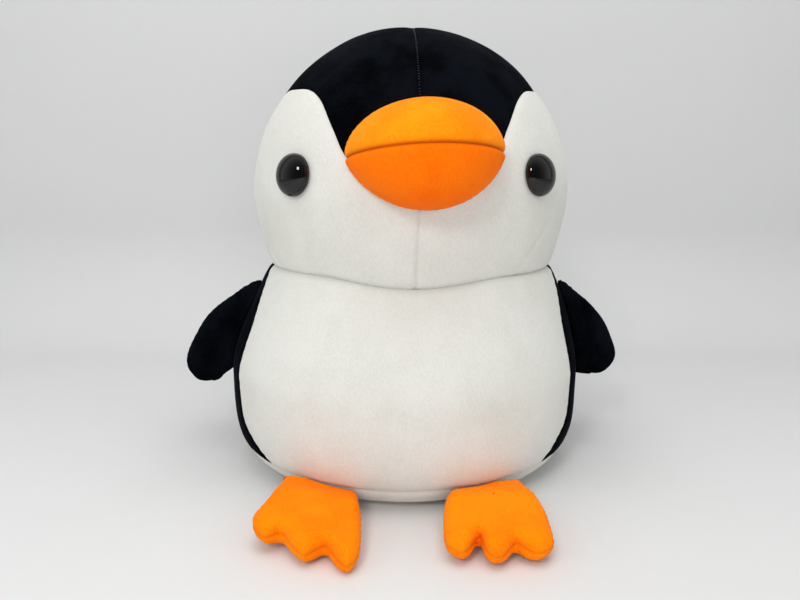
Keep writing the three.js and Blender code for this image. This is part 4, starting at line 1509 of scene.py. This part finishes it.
def wing(name, side):
    frame_matrix = wing_frame(name, side)
    sheets = pad_places(
        wing_outline(name), WING_CENTRE, wing_height, frame_matrix,
        0, JOINTS[f"wing_{name}_flap"], WING_ALLOWANCE,
    )
    faces = ("front", "rear") if side > 0 else ("rear", "front")
    nodes = [(f"wing_{name}_{face}_cloth", [f"wing_{name}_{face}"]) for face in faces]
    nodes[0][1].append(f"wing_{name}_stuffing")
    cloth = ("black_plush", BLACK)
    pad(sheets, WING_RIM, *cloth, f"wing_{name}", frame_matrix, (1, 0, 0), nodes, 30)


for name, side in SIDES.items():
    wing(name, side)

# %% [markdown]
# ## Light
# A wide soft light hangs over the toy, one stands on either side, and one low in front lifts the
# belly and the hem. They could show as white slabs in the polished eyes, so they are kept out of
# reflections. Four small panes side by side give the eyes a window to reflect instead. The room
# is dark in front and bright behind, which keeps the eyes black and the sweep pale.

# %% Lights
LIGHTS = {  # place, target, width in metres and power in watts
    "over": ((0, -0.35, 1.5), (0, -0.15, 0.1), 1.2, 11),
    "left": ((-1.3, -0.9, 0.9), (0, 0, 0.15), 0.9, 4.6),
    "right": ((1.35, -0.8, 0.85), (0, 0, 0.15), 0.9, 3),
    "front": ((0.1, -1.4, 0.3), (0, 0, 0.05), 0.7, 5.6),
}
PANES = [(-0.40, -0.95, 0.90), (-0.28, -0.97, 0.90), (-0.40, -0.97, 0.79), (-0.28, -0.99, 0.79)]
PANE_WIDTH = 0.09
PANE_POWER = 0.8
FACE = (0, 0, 0.2)
ROOM_FRONT = (0.10, 0.10, 0.11, 1)
ROOM_BACK = (1.0, 1.0, 1.0, 1)
ROOM_STRENGTH = 0.72


def add_light(name, place, target, size, power, reflected=False):
    bpy.ops.object.light_add(type="AREA", location=place)
    light = bpy.context.object
    light.name = name
    light.data.size = size
    light.data.energy = power
    light.visible_glossy = reflected
    light.rotation_mode = "QUATERNION"
    light.rotation_quaternion = (Vector(target) - Vector(place)).to_track_quat("-Z", "Y")


def add_room():
    world = bpy.data.worlds.new("studio")
    world.use_nodes = True
    tree = world.node_tree
    way = tree.nodes.new("ShaderNodeTexCoord")
    parts = tree.nodes.new("ShaderNodeSeparateXYZ")
    tree.links.new(way.outputs["Generated"], parts.inputs[0])
    behind = add_range(tree, parts.outputs["Y"], -0.9, 0.2, 0.0, 1.0)
    shade = add_mix(tree, behind, ROOM_FRONT, ROOM_BACK)
    tree.links.new(shade, tree.nodes["Background"].inputs["Color"])
    tree.nodes["Background"].inputs["Strength"].default_value = ROOM_STRENGTH
    bpy.context.scene.world = world


for light_name, settings in LIGHTS.items():
    add_light(light_name, *settings)
for count, place in enumerate(PANES, 1):
    add_light(f"pane_{count}", place, FACE, PANE_WIDTH, PANE_POWER, reflected=True)
add_room()
bpy.context.scene.view_settings.view_transform = "Standard"
print(len(LIGHTS), "lights and", len(PANES), "panes")
